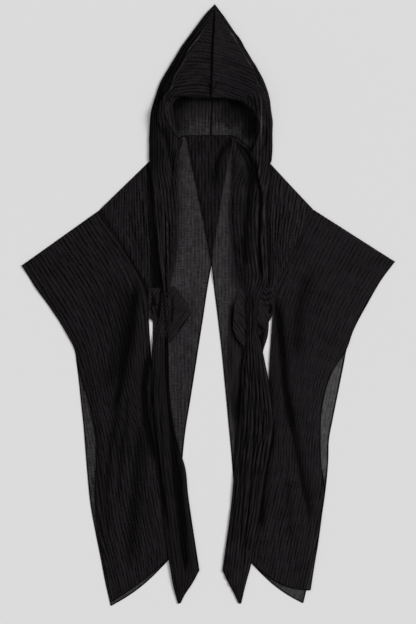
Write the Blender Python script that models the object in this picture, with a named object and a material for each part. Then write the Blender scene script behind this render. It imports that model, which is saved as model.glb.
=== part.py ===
"""Hooded long jacket of crinkled cotton, laid flat with its sleeves spread.

The origin is on the surface under the middle of the garment, +Y runs towards the point of the
hood and +Z up out of the surface. Left and right are as seen from above, so left is -X.
Every piece is a closed wall of cloth around a grid of middle points. All sizes and tables are
in millimetres, and make_node turns them to metres.
"""

import bpy
import numpy as np

MM = 0.001
WALL = 1.0  # cloth wall, with its crinkle pressed flat
HALF = WALL / 2
SEAM = 0.3  # clearance between two pieces that are sewn to each other
LAYER = WALL + 0.6  # height from one flat layer of cloth to the next, crinkle between them
FLAT_CRINKLE = 0.35  # height of a crinkle ridge on the backs, fronts and pockets
SLEEVE_CRINKLE = 0.6
LAPEL_CRINKLE = 0.5
HOOD_CRINKLE = 0.6
SLEEVE_ROLL = 1.1  # radius of the fold along the top of a sleeve
HOOD_ROLL = 2.2  # radius of the fold down the side of the hood
ROLL_SHARE, LEAST_ROLL = 0.2, 0.7  # the fold is tighter in the point, a share of its width
OVERLAP_LIFT = WALL + FLAT_CRINKLE + SEAM  # the right back lies on the left one below the neck

CLOTH = (0.0100, 0.0090, 0.0110)
HOOD_CLOTH = (0.0125, 0.0112, 0.0135)
POCKET_CLOTH = (0.0090, 0.0082, 0.0100)
CLOTH_ROUGHNESS = 0.9


def table(names, *rows):
    """The columns of a table by name, each as an array."""
    return dict(zip(names.split(), np.array(rows, float).T))


# The ends of the armhole seam, which a sleeve, a back and a front share.
SHOULDER_TIP = {"left": (-314, 278), "right": (303, 279)}
UNDERARM = {"left": (-169, 44), "right": (190, 44)}

# One section across a back half per row: its height, its centre edge and its outer edge.
BACKS = {
    "left": table(
        "y centre outer",
        (491, 71, -71),
        (455, 66, -119),
        (418, 60, -169),
        (348, 48, -241.5),
        (278, 34, -314),
        (200, 20, -265.7),
        (122, 8, -217.3),
        (44, -5, -169),
        (-37, -17, -162),
        (-101, -27, -161.5),
        (-173, -38, -160),
        (-275, -54, -156),
        (-362, -68, -153),
        (-449, -77, -146),
        (-536, -82, -132),
        (-620, -85, -117),
        (-700, -87, -103),
    ),
    "right": table(
        "y centre outer",
        (491, -62, 69),
        (450, -54, 124),
        (410, -46, 179),
        (345, -32, 241),
        (279, -19, 303),
        (200, -4, 265),
        (122, 10, 227.5),
        (44, 19, 190),
        (-28, 28, 177),
        (-86, 35, 173),
        (-140, 41, 158),
        (-214, 48, 166),
        (-275, 54, 170),
        (-341, 60, 171),
        (-425, 68, 163),
        (-527, 75, 146),
        (-615, 78, 132),
        (-700, 80, 117),
    ),
}
BACK_CORNERS = (2, 4, 7)  # the rows at the neck point, the shoulder tip and the underarm
OVERLAP_LEVEL = 34  # the right back stays lifted this far past the left one's centre edge
OVERLAP_SLOPE = 30  # and comes down to the surface over this width
CROSSING_LOW, CROSSING_HIGH = 40, 90  # it rises between these heights, where the halves cross

# One section from the lapel to the armhole per row, from the shoulder seam down.
FRONTS = {
    "left": table(
        "lapel_x lapel_y armhole",
        (-158, 404, 0.00),
        (-152, 330, 0.20),
        (-148, 260, 0.40),
        (-144, 190, 0.60),
        (-140, 115, 0.80),
        (-136, 51, 0.97),
    ),
    "right": table(
        "lapel_x lapel_y armhole",
        (168, 398, 0.00),
        (158, 330, 0.20),
        (154, 260, 0.40),
        (156, 190, 0.60),
        (158, 115, 0.80),
        (152, 51, 0.97),
    ),
}

# One section across a sleeve per row, from the fold along its top to its hem: the body end,
# then the cuff edge of the lower layer, then the cuff edge of the upper layer.
SLEEVES = {
    "left": table(
        "body_x body_y low_x low_y top_x top_y",
        (-314, 278, -540, 117, -540, 117),
        (-277.7, 219.5, -500, 53, -500, 53),
        (-241.5, 161, -453, -12, -453, -12),
        (-205.3, 102.5, -407, -86, -407, -86),
        (-169, 44, -386, -130, -384, -133),
        (-172, -37, -380, -170, -377, -168),
        (-169, -101, -375, -208, -366, -215),
        (-163, -173, -368, -275, -347, -275),
        (-158, -275, -361, -341, -331, -340),
        (-155, -362, -355, -415, -323, -410),
        (-148, -449, -349, -489, -325, -489),
        (-137, -536, -341, -570, -327, -565),
        (-124, -623, -326, -655, -320, -645),
        (-115, -665, -311, -730, -307, -722),
        (-109, -698, -297, -803, -293, -792),
        (-104, -724, -282, -870, -279, -858),
    ),
    "right": table(
        "body_x body_y low_x low_y top_x top_y",
        (303, 279, 540, 128, 540, 128),
        (274.7, 220.2, 501, 76, 501, 76),
        (246.5, 161.5, 463, 11, 463, 11),
        (218.3, 102.7, 420, -70, 420, -70),
        (190, 44, 398, -133, 396, -133),
        (186, -25, 391, -170, 380, -157),
        (181, -98, 383, -210, 355, -200),
        (177, -159, 371, -270, 336, -258),
        (175, -214, 359, -330, 325, -330),
        (175, -275, 348, -390, 324, -385),
        (177, -341, 346, -450, 325, -449),
        (168, -425, 341, -511, 336, -539),
        (150, -527, 329, -600, 328, -605),
        (135, -620, 314, -690, 318, -681),
        (124, -690, 293, -780, 305, -760),
        (116, -736, 274, -862, 295, -825),
    ),
}
BODY_CORNERS = (4,)  # the row at the underarm
ARMHOLE_SHIFT = 1.4 * SEAM  # sideways, so that the slanted armhole seam has its clearance
HEM_BOW = 6  # power of the share down the sleeve, which keeps the hem's bow near the hem
HEM_DROP = {"left": (15, 7), "right": (14, 24)}  # how far each hem bows below its ends
SLEEVE_LOFT = 2.6  # how far the upper layer bellies up from the lower one
# The shares of a sleeve over which the belly dies out: at the body, cuff, hem and top fold.
LOFT_BODY, LOFT_CUFF, LOFT_HEM, LOFT_FOLD = 0.22, 0.12, 0.10, 0.12
# Soft valleys pressed into the upper layer of a sleeve, from end to end.
SLEEVE_VALLEYS = {
    "left": table(
        "x0 y0 x1 y1 width depth",
        (-207, -8, -320, -249, 20, 2.4),
        (-168, -130, -230, -500, 17, 2.6),
        (-230, -500, -240, -672, 15, 1.8),
    ),
    "right": table(
        "x0 y0 x1 y1 width depth",
        (202, -130, 225, -290, 20, 2.4),
        (225, -290, 251, -468, 17, 2.6),
        (251, -468, 283, -585, 15, 2.0),
    ),
}

# One section of a hood half per row, from the peak down: the fold at its side, the crease
# where the front face turns, the free edge of the upper layer (centre seam, then the face
# opening), the inner end of the lower layer (back seam, then neck seam), and two heights.
HOODS = {
    "left": table(
        "fold_x fold_y crease_x crease_y edge_x edge_y back_x back_y crease_z edge_z",
        (12, 869, 15.5, 869.5, 18.8, 870, 18.8, 870, 2.6, 2.8),
        (-7, 847, 4, 838, 18.0, 832, 18.0, 832, 4.6, 5.0),
        (-31, 816, -10, 806, 17.0, 795, 17.0, 795, 6.6, 7.0),
        (-56, 781, -32, 772, 16.0, 755, 16.0, 755, 8.8, 9.0),
        (-82, 741, -56, 733, 15.0, 715, 15.0, 715, 11, 11),
        (-109, 694, -76, 694, 14.0, 675, 14.0, 675, 13, 12),
        (-134, 650, -95, 652, 13.0, 636, 13.0, 636, 15, 13),
        (-149, 615, -103, 636, 12.0, 601, 12.0, 601, 17, 14),
        (-159, 590, -115, 620, -52, 603.5, 11.0, 565, 18, 17),
        (-165, 568, -131, 603, -104, 603, 10.0, 530, 19, 19),
        (-169, 550, -146, 578, -126, 585, 8.8, 491.6, 19, 20),
        (-171, 522, -149, 546, -129, 561, -45, 491.8, 17, 20),
        (-172, 492.3, -144, 515, -117, 529, -73.0, 492.3, 14, 17),
        (-172.5, 454, -137, 479, -97, 495, -73.22, 491.56, 11, 12),
        (-172.5, 420.0, -128, 446, -76, 474.8, -73.21, 490.97, 8, 8),
    ),
    "right": table(
        "fold_x fold_y crease_x crease_y edge_x edge_y back_x back_y crease_z edge_z",
        (26, 869, 22.5, 869.5, 19.2, 870, 19.2, 870, 2.6, 2.8),
        (44, 840, 35, 834, 18.4, 832, 18.4, 832, 4.6, 5.0),
        (66, 806, 51, 803, 17.4, 795, 17.4, 795, 6.6, 7.0),
        (89, 772, 73, 767, 16.4, 755, 16.4, 755, 8.8, 9.0),
        (114, 730, 98, 727, 15.4, 715, 15.4, 715, 11, 11),
        (138, 693, 121, 693, 14.4, 675, 14.4, 675, 13, 12),
        (158, 657, 138, 660, 13.4, 636, 13.4, 636, 15, 13),
        (170, 626, 145, 634, 12.4, 601, 12.4, 601, 17, 14),
        (178, 597, 151, 610, 62, 598, 11.4, 565, 19, 17),
        (182, 572, 156, 586, 101, 588, 10.4, 530, 20, 18),
        (185, 550, 160, 560, 133, 562, 9.2, 491.6, 20, 19),
        (187, 521, 165, 527, 147, 526, 45, 491.8, 19, 20),
        (187, 492.3, 164, 495, 144, 492, 71.0, 492.3, 16, 18),
        (185.5, 452, 160, 460, 134, 464, 71.22, 491.56, 12, 14),
        (182.5, 413, 154, 429.0, 127, 444.0, 71.21, 490.97, 8, 10),
    ),
}
BACK_CELLS, SIDE_CELLS, FRONT_CELLS = 3, 4, 6  # cells across the three faces of a half
EDGE_CORNERS = (7, 10)  # rows at the foot of the centre seam and at the corner of the face
BACK_SEAM_CORNERS = (10, 12)  # rows at the foot of the back seam and at the neck corner

# One section across a lapel per row, from the hood down to the point of the tail: the outer
# edge, the inner edge, and the height of the middle of the cloth at each.
LAPELS = {
    "left": table(
        "outer_x outer_y inner_x inner_y outer_z inner_z",
        (-172.5, 418.6, -76, 473.6, 5.0, 8.0),
        (-171, 365, -81, 420, 5.0, 6.0),
        (-168, 305, -82, 345, 4.8, 4.4),
        (-162, 240, -82, 262, 4.8, 3.4),
        (-157, 175, -88, 180, 4.8, 3.2),
        (-150, 125, -95, 125, 4.8, 3.4),
        (-141, 75, -106, 75, 5.0, 4.6),
        (-137, 40, -115, 40, 5.2, 5.0),
        (-137, 5, -117, 5, 5.2, 5.0),
        (-142, -35, -117, -35, 5.2, 5.0),
        (-151, -68, -117, -65, 5.2, 5.0),
        (-160, -105, -117, -105, 5.0, 4.8),
        (-163, -180, -116, -180, 5.0, 3.2),
        (-167, -265, -112, -265, 5.0, 2.6),
        (-166, -340, -102, -342, 5.0, 2.4),
        (-161, -410, -88, -408, 5.0, 2.4),
        (-155, -480, -68, -472, 5.0, 2.4),
        (-146, -550, -60, -548, 5.0, 2.4),
        (-131, -632, -48, -632, 5.0, 2.4),
        (-118, -710, -36, -710, 4.6, 2.4),
        (-108, -772, -27, -768, 3.6, 2.4),
        (-101, -812, -49, -808, 2.8, 2.4),
        (-94, -840, -69, -838, 2.4, 2.2),
        (-87, -864, -81, -862, 2.2, 2.2),
    ),
    "right": table(
        "outer_x outer_y inner_x inner_y outer_z inner_z",
        (182.5, 411.0, 74, 472.6, 5.0, 4.6),
        (175, 352, 67, 421, 5.0, 4.6),
        (168, 300, 66, 350, 4.8, 4.4),
        (167, 250, 63, 270, 4.8, 4.2),
        (171, 189, 71, 189, 4.8, 4.0),
        (175, 126, 83, 126, 4.8, 3.6),
        (176, 80, 91, 80, 4.8, 4.2),
        (160, 42, 106, 42, 5.2, 5.0),
        (144, 8, 119, 8, 5.2, 5.0),
        (141, -32, 120, -32, 5.2, 5.0),
        (143, -72, 119, -72, 5.2, 5.0),
        (154, -122, 108, -120, 5.0, 4.8),
        (166, -180, 98, -182, 5.0, 3.6),
        (180, -255, 96, -255, 5.0, 2.8),
        (187, -335, 89, -340, 5.0, 2.4),
        (177, -420, 77, -425, 5.0, 2.4),
        (162, -505, 74, -501, 5.0, 2.4),
        (147, -600, 65, -600, 5.0, 2.4),
        (131, -695, 52, -697, 4.6, 2.4),
        (121, -758, 42, -768, 3.6, 2.4),
        (110, -798, 57, -800, 2.8, 2.4),
        (101, -834, 74, -832, 2.4, 2.2),
        (94, -864, 88, -862, 2.2, 2.2),
    ),
}
LAPEL_CORNERS = {"left": (20,), "right": (19,)}  # the row where the tail's slanted end starts
# Gathers that run down a lapel: where they lie across it (0 outer, 1 inner edge) at their top
# and bottom, their half width across it, their height, and the rows where they start and end.
GATHERS = {
    "left": table(
        "at_top at_bottom width height start end",
        (0.10, 0.08, 0.06, 3.0, 0.0, 0.40),
        (0.30, 0.36, 0.06, 4.5, 0.0, 0.30),
        (0.52, 0.30, 0.06, 7.0, 0.05, 0.62),
        (0.74, 0.62, 0.06, 4.5, 0.0, 0.50),
        (0.92, 0.90, 0.05, 2.5, 0.0, 0.40),
        (0.12, 0.14, 0.06, 3.0, 0.50, 1.0),
        (0.42, 0.52, 0.06, 5.0, 0.55, 1.0),
        (0.72, 0.78, 0.06, 3.5, 0.45, 1.0),
    ),
    "right": table(
        "at_top at_bottom width height start end",
        (0.12, 0.06, 0.07, 8.0, 0.0, 0.30),
        (0.34, 0.24, 0.06, 6.0, 0.0, 0.42),
        (0.58, 0.50, 0.06, 4.0, 0.0, 0.38),
        (0.82, 0.76, 0.06, 3.0, 0.0, 0.40),
        (0.12, 0.14, 0.05, 4.0, 0.52, 1.0),
        (0.34, 0.36, 0.05, 6.0, 0.44, 1.0),
        (0.58, 0.60, 0.05, 5.5, 0.40, 1.0),
        (0.82, 0.84, 0.05, 4.0, 0.52, 1.0),
    ),
}
GATHER_FADE = 0.07  # the share of the lapel's length over which a gather starts or ends
FULL_GATHER_WIDTH = 60  # a lapel narrower than this has its gathers scaled down with it

# One section of a pocket bag per row, from the side seam inwards: its top and bottom ends.
POCKETS = {
    "left": table(
        "top_x top_y bottom_x bottom_y",
        (-166, 50, -166, -30),
        (-142, 50, -142, -52),
        (-118, 50, -126, -80),
        (-95, 46, -108, -108),
        (-72, 20, -86, -80),
        (-48, -20, -54, -40),
    ),
    "right": table(
        "top_x top_y bottom_x bottom_y",
        (184, 50, 181, -14),
        (160, 50, 159, -58),
        (136, 50, 136, -88),
        (110, 50, 107, -123),
        (91, 44, 84, -100),
        (76, 12, 71, -58),
    ),
}


def smooth_edge(xs, ys, steps, corners=()):
    """Points on one smooth curve through the table's rows, steps to a gap between two rows.

    Each gap is a cubic that leaves along the weighted mean of the slopes on both sides of its
    rows. At a row in corners, and at both ends, it leaves straight along the gap.
    """
    rows = np.stack([xs, ys], axis=1)
    length = np.linalg.norm(np.diff(rows, axis=0), axis=1)[:, None]
    slope = np.diff(rows, axis=0) / length
    leave, arrive = slope.copy(), slope.copy()
    mean = (length[:-1] * slope[1:] + length[1:] * slope[:-1]) / (length[:-1] + length[1:])
    soft = [row for row in range(1, len(rows) - 1) if row not in corners]
    leave[soft] = mean[[row - 1 for row in soft]]
    arrive[[row - 1 for row in soft]] = mean[[row - 1 for row in soft]]
    u = (np.arange(steps) / steps)[None, :, None]
    start, end = rows[:-1, None], rows[1:, None]
    reach = length[:, None]
    curve = (
        start * (2 * u**3 - 3 * u**2 + 1)
        + end * (3 * u**2 - 2 * u**3)
        + leave[:, None] * reach * (u**3 - 2 * u**2 + u)
        + arrive[:, None] * reach * (u**3 - u**2)
    )
    return np.concatenate([curve.reshape(-1, 2), rows[-1:]])


def heights(values, steps):
    """A table's column of heights at the same stations as smooth_edge's points."""
    rows = np.arange(len(values))
    return np.interp(np.linspace(0, rows[-1], rows[-1] * steps + 1), rows, values)


def ruled(start, end, count):
    """A grid of straight sections: [station, place across] between two edge curves."""
    across = np.linspace(0, 1, count + 1)[None, :, None]
    return start[:, None] * (1 - across) + end[:, None] * across


def ease(x):
    """0 below 0, 1 above 1, and a soft step between them."""
    x = np.clip(x, 0, 1)
    return x * x * (3 - 2 * x)


def crinkle(shape, axis, height):
    """Ridges on every other line of points, uneven in height, and none at the borders."""
    line = np.arange(shape[axis])
    ridge = height * (line % 2) * (0.75 + 0.25 * np.sin(2.3 * line))
    ridge[[0, -1]] = 0
    return ridge[:, None] * np.ones(shape) if axis == 0 else ridge[None, :] * np.ones(shape)


def valley(grid, folds):
    """How deep the table's folds press into each point of a grid, by its distance to them."""
    depth = np.zeros(grid.shape[:2])
    for x0, y0, x1, y1, width, deep in zip(*folds.values()):
        start, run = np.array([x0, y0]), np.array([x1 - x0, y1 - y0])
        along = np.clip(((grid - start) @ run) / (run @ run), 0, 1)
        away = np.linalg.norm(grid - start - along[..., None] * run, axis=-1)
        depth = np.maximum(depth, deep * np.exp(-((away / width) ** 2)))
    return depth


def make_node(name, points, faces, colour):
    """One mesh object in metres, with its own cloth material."""
    mesh = bpy.data.meshes.new(name)
    mesh.from_pydata((points * MM).tolist(), [], faces.tolist())
    mesh.shade_smooth()
    mesh.set_sharp_from_angle(angle=0.9)
    cloth = bpy.data.materials.new(name + "_cloth")
    cloth.use_nodes = True
    surface = cloth.node_tree.nodes["Principled BSDF"]
    surface.inputs["Base Color"].default_value = (*colour, 1)
    surface.inputs["Roughness"].default_value = CLOTH_ROUGHNESS
    surface.inputs["Metallic"].default_value = 0
    mesh.materials.append(cloth)
    node = bpy.data.objects.new(name, mesh)
    bpy.context.scene.collection.objects.link(node)
    return node


def cloth_wall(name, middle, colour, ridge=0.0):
    """A closed wall around a grid of middle points, whose last row lies face up.

    The plain side is half the wall from the middle, and the outer side is that far out on the
    other side, plus the ridge height of each point. A rim joins the two.
    """
    normal = np.cross(np.gradient(middle, axis=0), np.gradient(middle, axis=1))
    normal /= np.linalg.norm(normal, axis=-1, keepdims=True)
    if normal[-1, :, 2].mean() < 0:
        normal = -normal
    ridge = np.broadcast_to(ridge, middle.shape[:2])[..., None]
    points = np.concatenate(
        [(middle + normal * (HALF + ridge)).reshape(-1, 3), (middle - normal * HALF).reshape(-1, 3)]
    )
    rows, columns = middle.shape[:2]
    index = np.arange(rows * columns).reshape(rows, columns)
    quads = np.stack([index[:-1, :-1], index[1:, :-1], index[1:, 1:], index[:-1, 1:]], axis=-1)
    rim = np.concatenate([index[:-1, 0], index[-1, :-1], index[:0:-1, -1], index[0, :0:-1]])
    after, inner = np.roll(rim, -1), rows * columns
    sides = np.stack([rim, rim + inner, after + inner, after], axis=-1)
    outer = quads.reshape(-1, 4)
    faces = np.concatenate([outer, outer[:, ::-1] + inner, sides])
    corners = points[faces]
    turned = np.cross(corners[:, 2] - corners[:, 0], corners[:, 3] - corners[:, 1])
    outward = np.einsum("ij,ij->", corners.mean(axis=1), turned) > 0
    return make_node(name, points, faces if outward else faces[:, ::-1], colour)


def rolled(lower_end, upper_start, outward, steps=4):
    """The half circle of a fold, from the end of the lower layer to the start of the upper."""
    centre, radius = (lower_end + upper_start) / 2, (upper_start - lower_end)[..., 2:] / 2
    turn = np.linspace(-np.pi / 2, np.pi / 2, steps + 1)[1:-1, None, None]
    out = np.concatenate([outward, np.zeros_like(outward[:, :1])], axis=1)
    up = np.array([0, 0, 1.0])
    return centre + radius * (np.cos(turn) * out + np.sin(turn) * up)


def lift(grid, z):
    """The grid of plan points with a height for each."""
    return np.concatenate([grid, np.broadcast_to(z, grid.shape[:2])[..., None]], axis=-1)


def armhole_point(side, share):
    """A point on the straight armhole seam, at this share of the way to the underarm."""
    top, under = np.array(SHOULDER_TIP[side]), np.array(UNDERARM[side])
    return top + (under - top) * np.asarray(share)[..., None]


def make_back(side):
    """A back half, flat on the surface. The right one rides over the left below the neck."""
    rows = BACKS[side]
    centre = smooth_edge(rows["centre"], rows["y"], 1)
    outer = smooth_edge(rows["outer"], rows["y"], 1, BACK_CORNERS)
    grid = ruled(centre, outer, 12)
    z = HALF
    if side == "right":
        left = BACKS["left"]
        left_edge = np.interp(grid[..., 1], left["y"][::-1], left["centre"][::-1])
        across = 1 - ease((grid[..., 0] - left_edge - OVERLAP_LEVEL) / OVERLAP_SLOPE)
        above = ease((grid[..., 1] - CROSSING_LOW) / (CROSSING_HIGH - CROSSING_LOW))
        z = HALF + OVERLAP_LIFT * across * above
    cloth_wall("back_" + side, lift(grid, z), CLOTH, crinkle(grid.shape[:2], 1, FLAT_CRINKLE))


def make_front(side):
    """A shoulder front, one layer above the back, between the lapel and the armhole seam."""
    rows = FRONTS[side]
    lapel = smooth_edge(rows["lapel_x"], rows["lapel_y"], 2)
    armhole = armhole_point(side, heights(rows["armhole"], 2))
    grid = ruled(lapel, armhole, 8)
    ridge = crinkle(grid.shape[:2], 1, FLAT_CRINKLE)
    cloth_wall("front_" + side, lift(grid, HALF + LAYER), CLOTH, ridge)


def make_sleeve(side, columns=22):
    """A sleeve: a lower and an upper layer joined by the fold along its top."""
    rows, outside = SLEEVES[side], -1 if side == "left" else 1
    seam = ARMHOLE_SHIFT * outside
    body = smooth_edge(rows["body_x"] + seam, rows["body_y"], 1, BODY_CORNERS)
    layers = []
    for edge, drop in zip(("low", "top"), HEM_DROP[side]):
        cuff = smooth_edge(rows[edge + "_x"], rows[edge + "_y"], 1)
        grid = ruled(body, cuff, columns)
        down = np.linspace(0, 1, len(grid))[:, None]
        across = np.linspace(0, 1, columns + 1)[None, :]
        grid[..., 1] -= drop * down**HEM_BOW * np.sin(np.pi * across)
        layers.append(grid)
    lower, upper = layers
    outward = lower[0] - lower[1]
    outward /= np.linalg.norm(outward, axis=1, keepdims=True)
    for grid in layers:
        grid[0] -= outward * (SLEEVE_ROLL + HALF)
    across = np.linspace(0, 1, columns + 1)[None, :]
    down = np.linspace(0, 1, len(upper))[:, None]
    inside = ease(across / LOFT_BODY) * ease((1 - across) / LOFT_CUFF)
    inside = inside * ease((1 - down) / LOFT_HEM) * ease(down / LOFT_FOLD)
    loft = inside * np.maximum(SLEEVE_LOFT - valley(upper, SLEEVE_VALLEYS[side]), 0)
    top = HALF + LAYER - SEAM + loft
    top[0] = HALF + 2 * SLEEVE_ROLL
    under, over = lift(lower, HALF)[::-1], lift(upper, top)
    middle = np.concatenate([under, rolled(under[-1], over[0], outward), over])
    ridge = crinkle(middle.shape[:2], 1, SLEEVE_CRINKLE)
    ridge[: len(under) + 1] = 0
    cloth_wall("sleeve_" + side, middle, CLOTH, ridge)


def make_hood(side):
    """A hood half: its back on the surface, a rolled fold at its side, its front raised."""
    rows = HOODS[side]

    def line(name, corners=()):
        return smooth_edge(rows[name + "_x"], rows[name + "_y"], 2, corners)

    fold, crease = line("fold"), line("crease")
    edge, back = line("edge", EDGE_CORNERS), line("back", BACK_SEAM_CORNERS)
    outward = fold - back
    width = np.linalg.norm(outward, axis=1, keepdims=True)
    outward /= width
    roll = np.clip(ROLL_SHARE * width, LEAST_ROLL, HOOD_ROLL)
    turn = fold - outward * (roll + HALF)
    under = lift(ruled(back, turn, BACK_CELLS), HALF)
    side_face = ruled(turn, crease, SIDE_CELLS)[:, :-1]
    front_face = ruled(crease, edge, FRONT_CELLS)
    rise = np.linspace(0, 1, SIDE_CELLS + 1)[None, :-1]
    run = np.linspace(0, 1, FRONT_CELLS + 1)[None, :]
    start, top = HALF + 2 * roll, heights(rows["crease_z"], 2)[:, None]
    side_z = start + (top - start) * (1 - (1 - rise) ** 2)
    front_z = top + (heights(rows["edge_z"], 2)[:, None] - top) * run
    upper = np.concatenate([lift(side_face, side_z), lift(front_face, front_z)], axis=1)
    under, upper = under.transpose(1, 0, 2), upper.transpose(1, 0, 2)
    middle = np.concatenate([under, rolled(under[-1], upper[0], outward, 5), upper])
    ridge = crinkle(middle.shape[:2], 1, HOOD_CRINKLE)
    ridge[: -FRONT_CELLS - 1] = 0
    cloth_wall("hood_" + side, middle, HOOD_CLOTH, ridge)


def make_lapel(side, columns=14):
    """A lapel, from the foot of the hood to the point of its tail, with gathers down it."""
    rows = LAPELS[side]
    outer = smooth_edge(rows["outer_x"], rows["outer_y"], 1)
    inner = smooth_edge(rows["inner_x"], rows["inner_y"], 1, LAPEL_CORNERS[side])
    grid = ruled(outer, inner, columns)
    across = np.linspace(0, 1, columns + 1)[None, :]
    down = np.linspace(0, 1, len(grid))[:, None]
    outer_z, inner_z = heights(rows["outer_z"], 1)[:, None], heights(rows["inner_z"], 1)[:, None]
    z = outer_z * (1 - across) + inner_z * across
    width = np.linalg.norm(outer - inner, axis=1)[:, None]
    fullness = np.minimum(1, width / FULL_GATHER_WIDTH)
    for top, bottom, half, high, start, end in zip(*GATHERS[side].values()):
        place = top + (bottom - top) * down
        shown = ease((down - start) / GATHER_FADE + 1) * ease((end - down) / GATHER_FADE + 0.5)
        z = z + high * fullness * shown * np.exp(-(((across - place) / half) ** 2))
    ridge = crinkle(grid.shape[:2], 1, LAPEL_CRINKLE) * fullness
    cloth_wall("lapel_" + side, lift(grid, z), CLOTH, ridge)


def make_pocket(side):
    """A pocket bag that hangs from the side seam, on the back and under the lapel."""
    rows = POCKETS[side]
    top = smooth_edge(rows["top_x"], rows["top_y"], 2)
    bottom = smooth_edge(rows["bottom_x"], rows["bottom_y"], 2)
    grid = ruled(top, bottom, 6)
    ridge = crinkle(grid.shape[:2], 0, FLAT_CRINKLE)
    cloth_wall("pocket_" + side, lift(grid, HALF + LAYER), POCKET_CLOTH, ridge)


for old in list(bpy.data.objects):
    bpy.data.objects.remove(old)
for side in ("left", "right"):
    make_back(side)
    make_front(side)
    make_sleeve(side)
    make_pocket(side)
    make_lapel(side)
    make_hood(side)
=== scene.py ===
"""A long open hooded jacket of black crinkled cotton gauze, laid flat on a pale surface, seen
from straight above. The board and the camera are in metres. The tables and sizes of the cloth
are in millimetres, and new_piece() turns them to metres. Left and right are as seen from above,
with the point of the hood away from the viewer."""

import bpy
import numpy as np
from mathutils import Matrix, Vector


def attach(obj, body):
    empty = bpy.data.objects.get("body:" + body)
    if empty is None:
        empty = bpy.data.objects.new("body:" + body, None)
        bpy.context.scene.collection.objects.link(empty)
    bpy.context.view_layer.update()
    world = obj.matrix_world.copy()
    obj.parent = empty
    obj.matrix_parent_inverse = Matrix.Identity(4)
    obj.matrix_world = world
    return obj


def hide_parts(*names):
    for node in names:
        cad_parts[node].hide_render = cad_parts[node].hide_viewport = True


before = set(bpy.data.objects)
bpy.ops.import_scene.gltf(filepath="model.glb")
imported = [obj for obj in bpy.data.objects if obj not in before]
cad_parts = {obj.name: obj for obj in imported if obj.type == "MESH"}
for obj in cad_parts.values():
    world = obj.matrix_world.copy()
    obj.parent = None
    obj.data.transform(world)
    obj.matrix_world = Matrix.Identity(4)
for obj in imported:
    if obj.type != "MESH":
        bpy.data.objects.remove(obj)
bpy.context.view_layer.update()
MM = 0.001
SIDES = ("left", "right")

# ---------------------------------------------------------------- surface, light and camera
# The jacket lies on a plain matt board, painted pale grey. The camera hangs straight above it
# on a long lens. One wide soft light comes in low from the right, in a pale room.
BOARD_GREY = "#DCDCDC"
BOARD_UNEVEN = 0.01  # how much paler or darker the paint gets in places, as a share
BOARD_SIZE = 9.0
BOARD_ROUGHNESS = 0.9
PHOTO_PIXEL = 2.9 * MM  # one pixel of the photo on the surface
PHOTO_SIZE = (416, 624)
PHOTO_ORIGIN = (208.35, 305.3)  # the pixel over the part's origin
LENS = 100.0
SENSOR = 36.0
SIGHT = 50  # how far the camera sees
WINDOW_WAY = (0.80, 0.30, 0.52)  # from the jacket towards the light
WINDOW_SPREAD = 0.45  # the angle that the light fills
WINDOW_LIGHT = 3.0
ROOM_LIGHT = 0.5


def linear(code):
    """The linear light values of an sRGB hex code: the curve's inverse, channel by channel."""
    srgb = np.array([int(code[at : at + 2], 16) for at in (1, 3, 5)]) / 255
    return np.where(srgb <= 0.04045, srgb / 12.92, ((srgb + 0.055) / 1.055) ** 2.4)


def add(tree, kind, values=(), links=(), **settings):
    """One new node, with its settings, its socket values and its links from other sockets."""
    node = tree.nodes.new("ShaderNode" + kind)
    for name, value in settings.items():
        setattr(node, name, value)
    for socket, value in dict(values).items():
        node.inputs[socket].default_value = value
    for socket, source in dict(links).items():
        tree.links.new(source, node.inputs[socket])
    return node


def placed(name, data):
    """A new object of a mesh, a lamp or a camera, linked into the scene."""
    thing = bpy.data.objects.new(name, data)
    bpy.context.scene.collection.objects.link(thing)
    return thing


def painted_board():
    """Matt emulsion on board: even, without gloss, with a barely uneven tone."""
    paint = bpy.data.materials.new("matt_emulsion_paint")
    paint.use_nodes = True
    tree = paint.node_tree
    surface = tree.nodes["Principled BSDF"]
    grain = add(tree, "TexNoise", {"Scale": 3.0, "Detail": 3.0})
    tone = add(tree, "ValToRGB", links={"Fac": grain.outputs["Fac"]})
    grey = linear(BOARD_GREY)
    for stop, share in zip(tone.color_ramp.elements, (1 - BOARD_UNEVEN, 1 + BOARD_UNEVEN)):
        stop.color = (*grey * share, 1)
    tree.links.new(tone.outputs["Color"], surface.inputs["Base Color"])
    surface.inputs["Roughness"].default_value = BOARD_ROUGHNESS
    surface.inputs["Specular IOR Level"].default_value = 0.0
    return paint


half = BOARD_SIZE / 2
corners = [(-half, -half, 0), (half, -half, 0), (half, half, 0), (-half, half, 0)]
board_mesh = bpy.data.meshes.new("board")
board_mesh.from_pydata(corners, [], [(0, 1, 2, 3)])
board_mesh.materials.append(painted_board())
board = placed("board", board_mesh)

window = bpy.data.lights.new("window", "SUN")
window.angle = WINDOW_SPREAD
window.energy = WINDOW_LIGHT
lamp = placed("window", window)
lamp.rotation_mode = "QUATERNION"
lamp.rotation_quaternion = Vector(WINDOW_WAY).to_track_quat("Z", "Y")

room = bpy.data.worlds.new("pale_room")
room.use_nodes = True
room.node_tree.nodes["Background"].inputs["Color"].default_value = (1, 1, 1, 1)
room.node_tree.nodes["Background"].inputs["Strength"].default_value = ROOM_LIGHT
bpy.context.scene.world = room
bpy.context.scene.view_settings.view_transform = "Standard"

lens = bpy.data.cameras.new("overhead")
lens.lens = LENS
lens.sensor_width = SENSOR
lens.clip_end = SIGHT
camera = placed("overhead", lens)
middle = (np.array(PHOTO_SIZE) / 2 - PHOTO_ORIGIN) * (1, -1) * PHOTO_PIXEL
camera.location = (*middle, PHOTO_SIZE[1] * PHOTO_PIXEL * LENS / SENSOR)
bpy.context.scene.camera = camera

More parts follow.
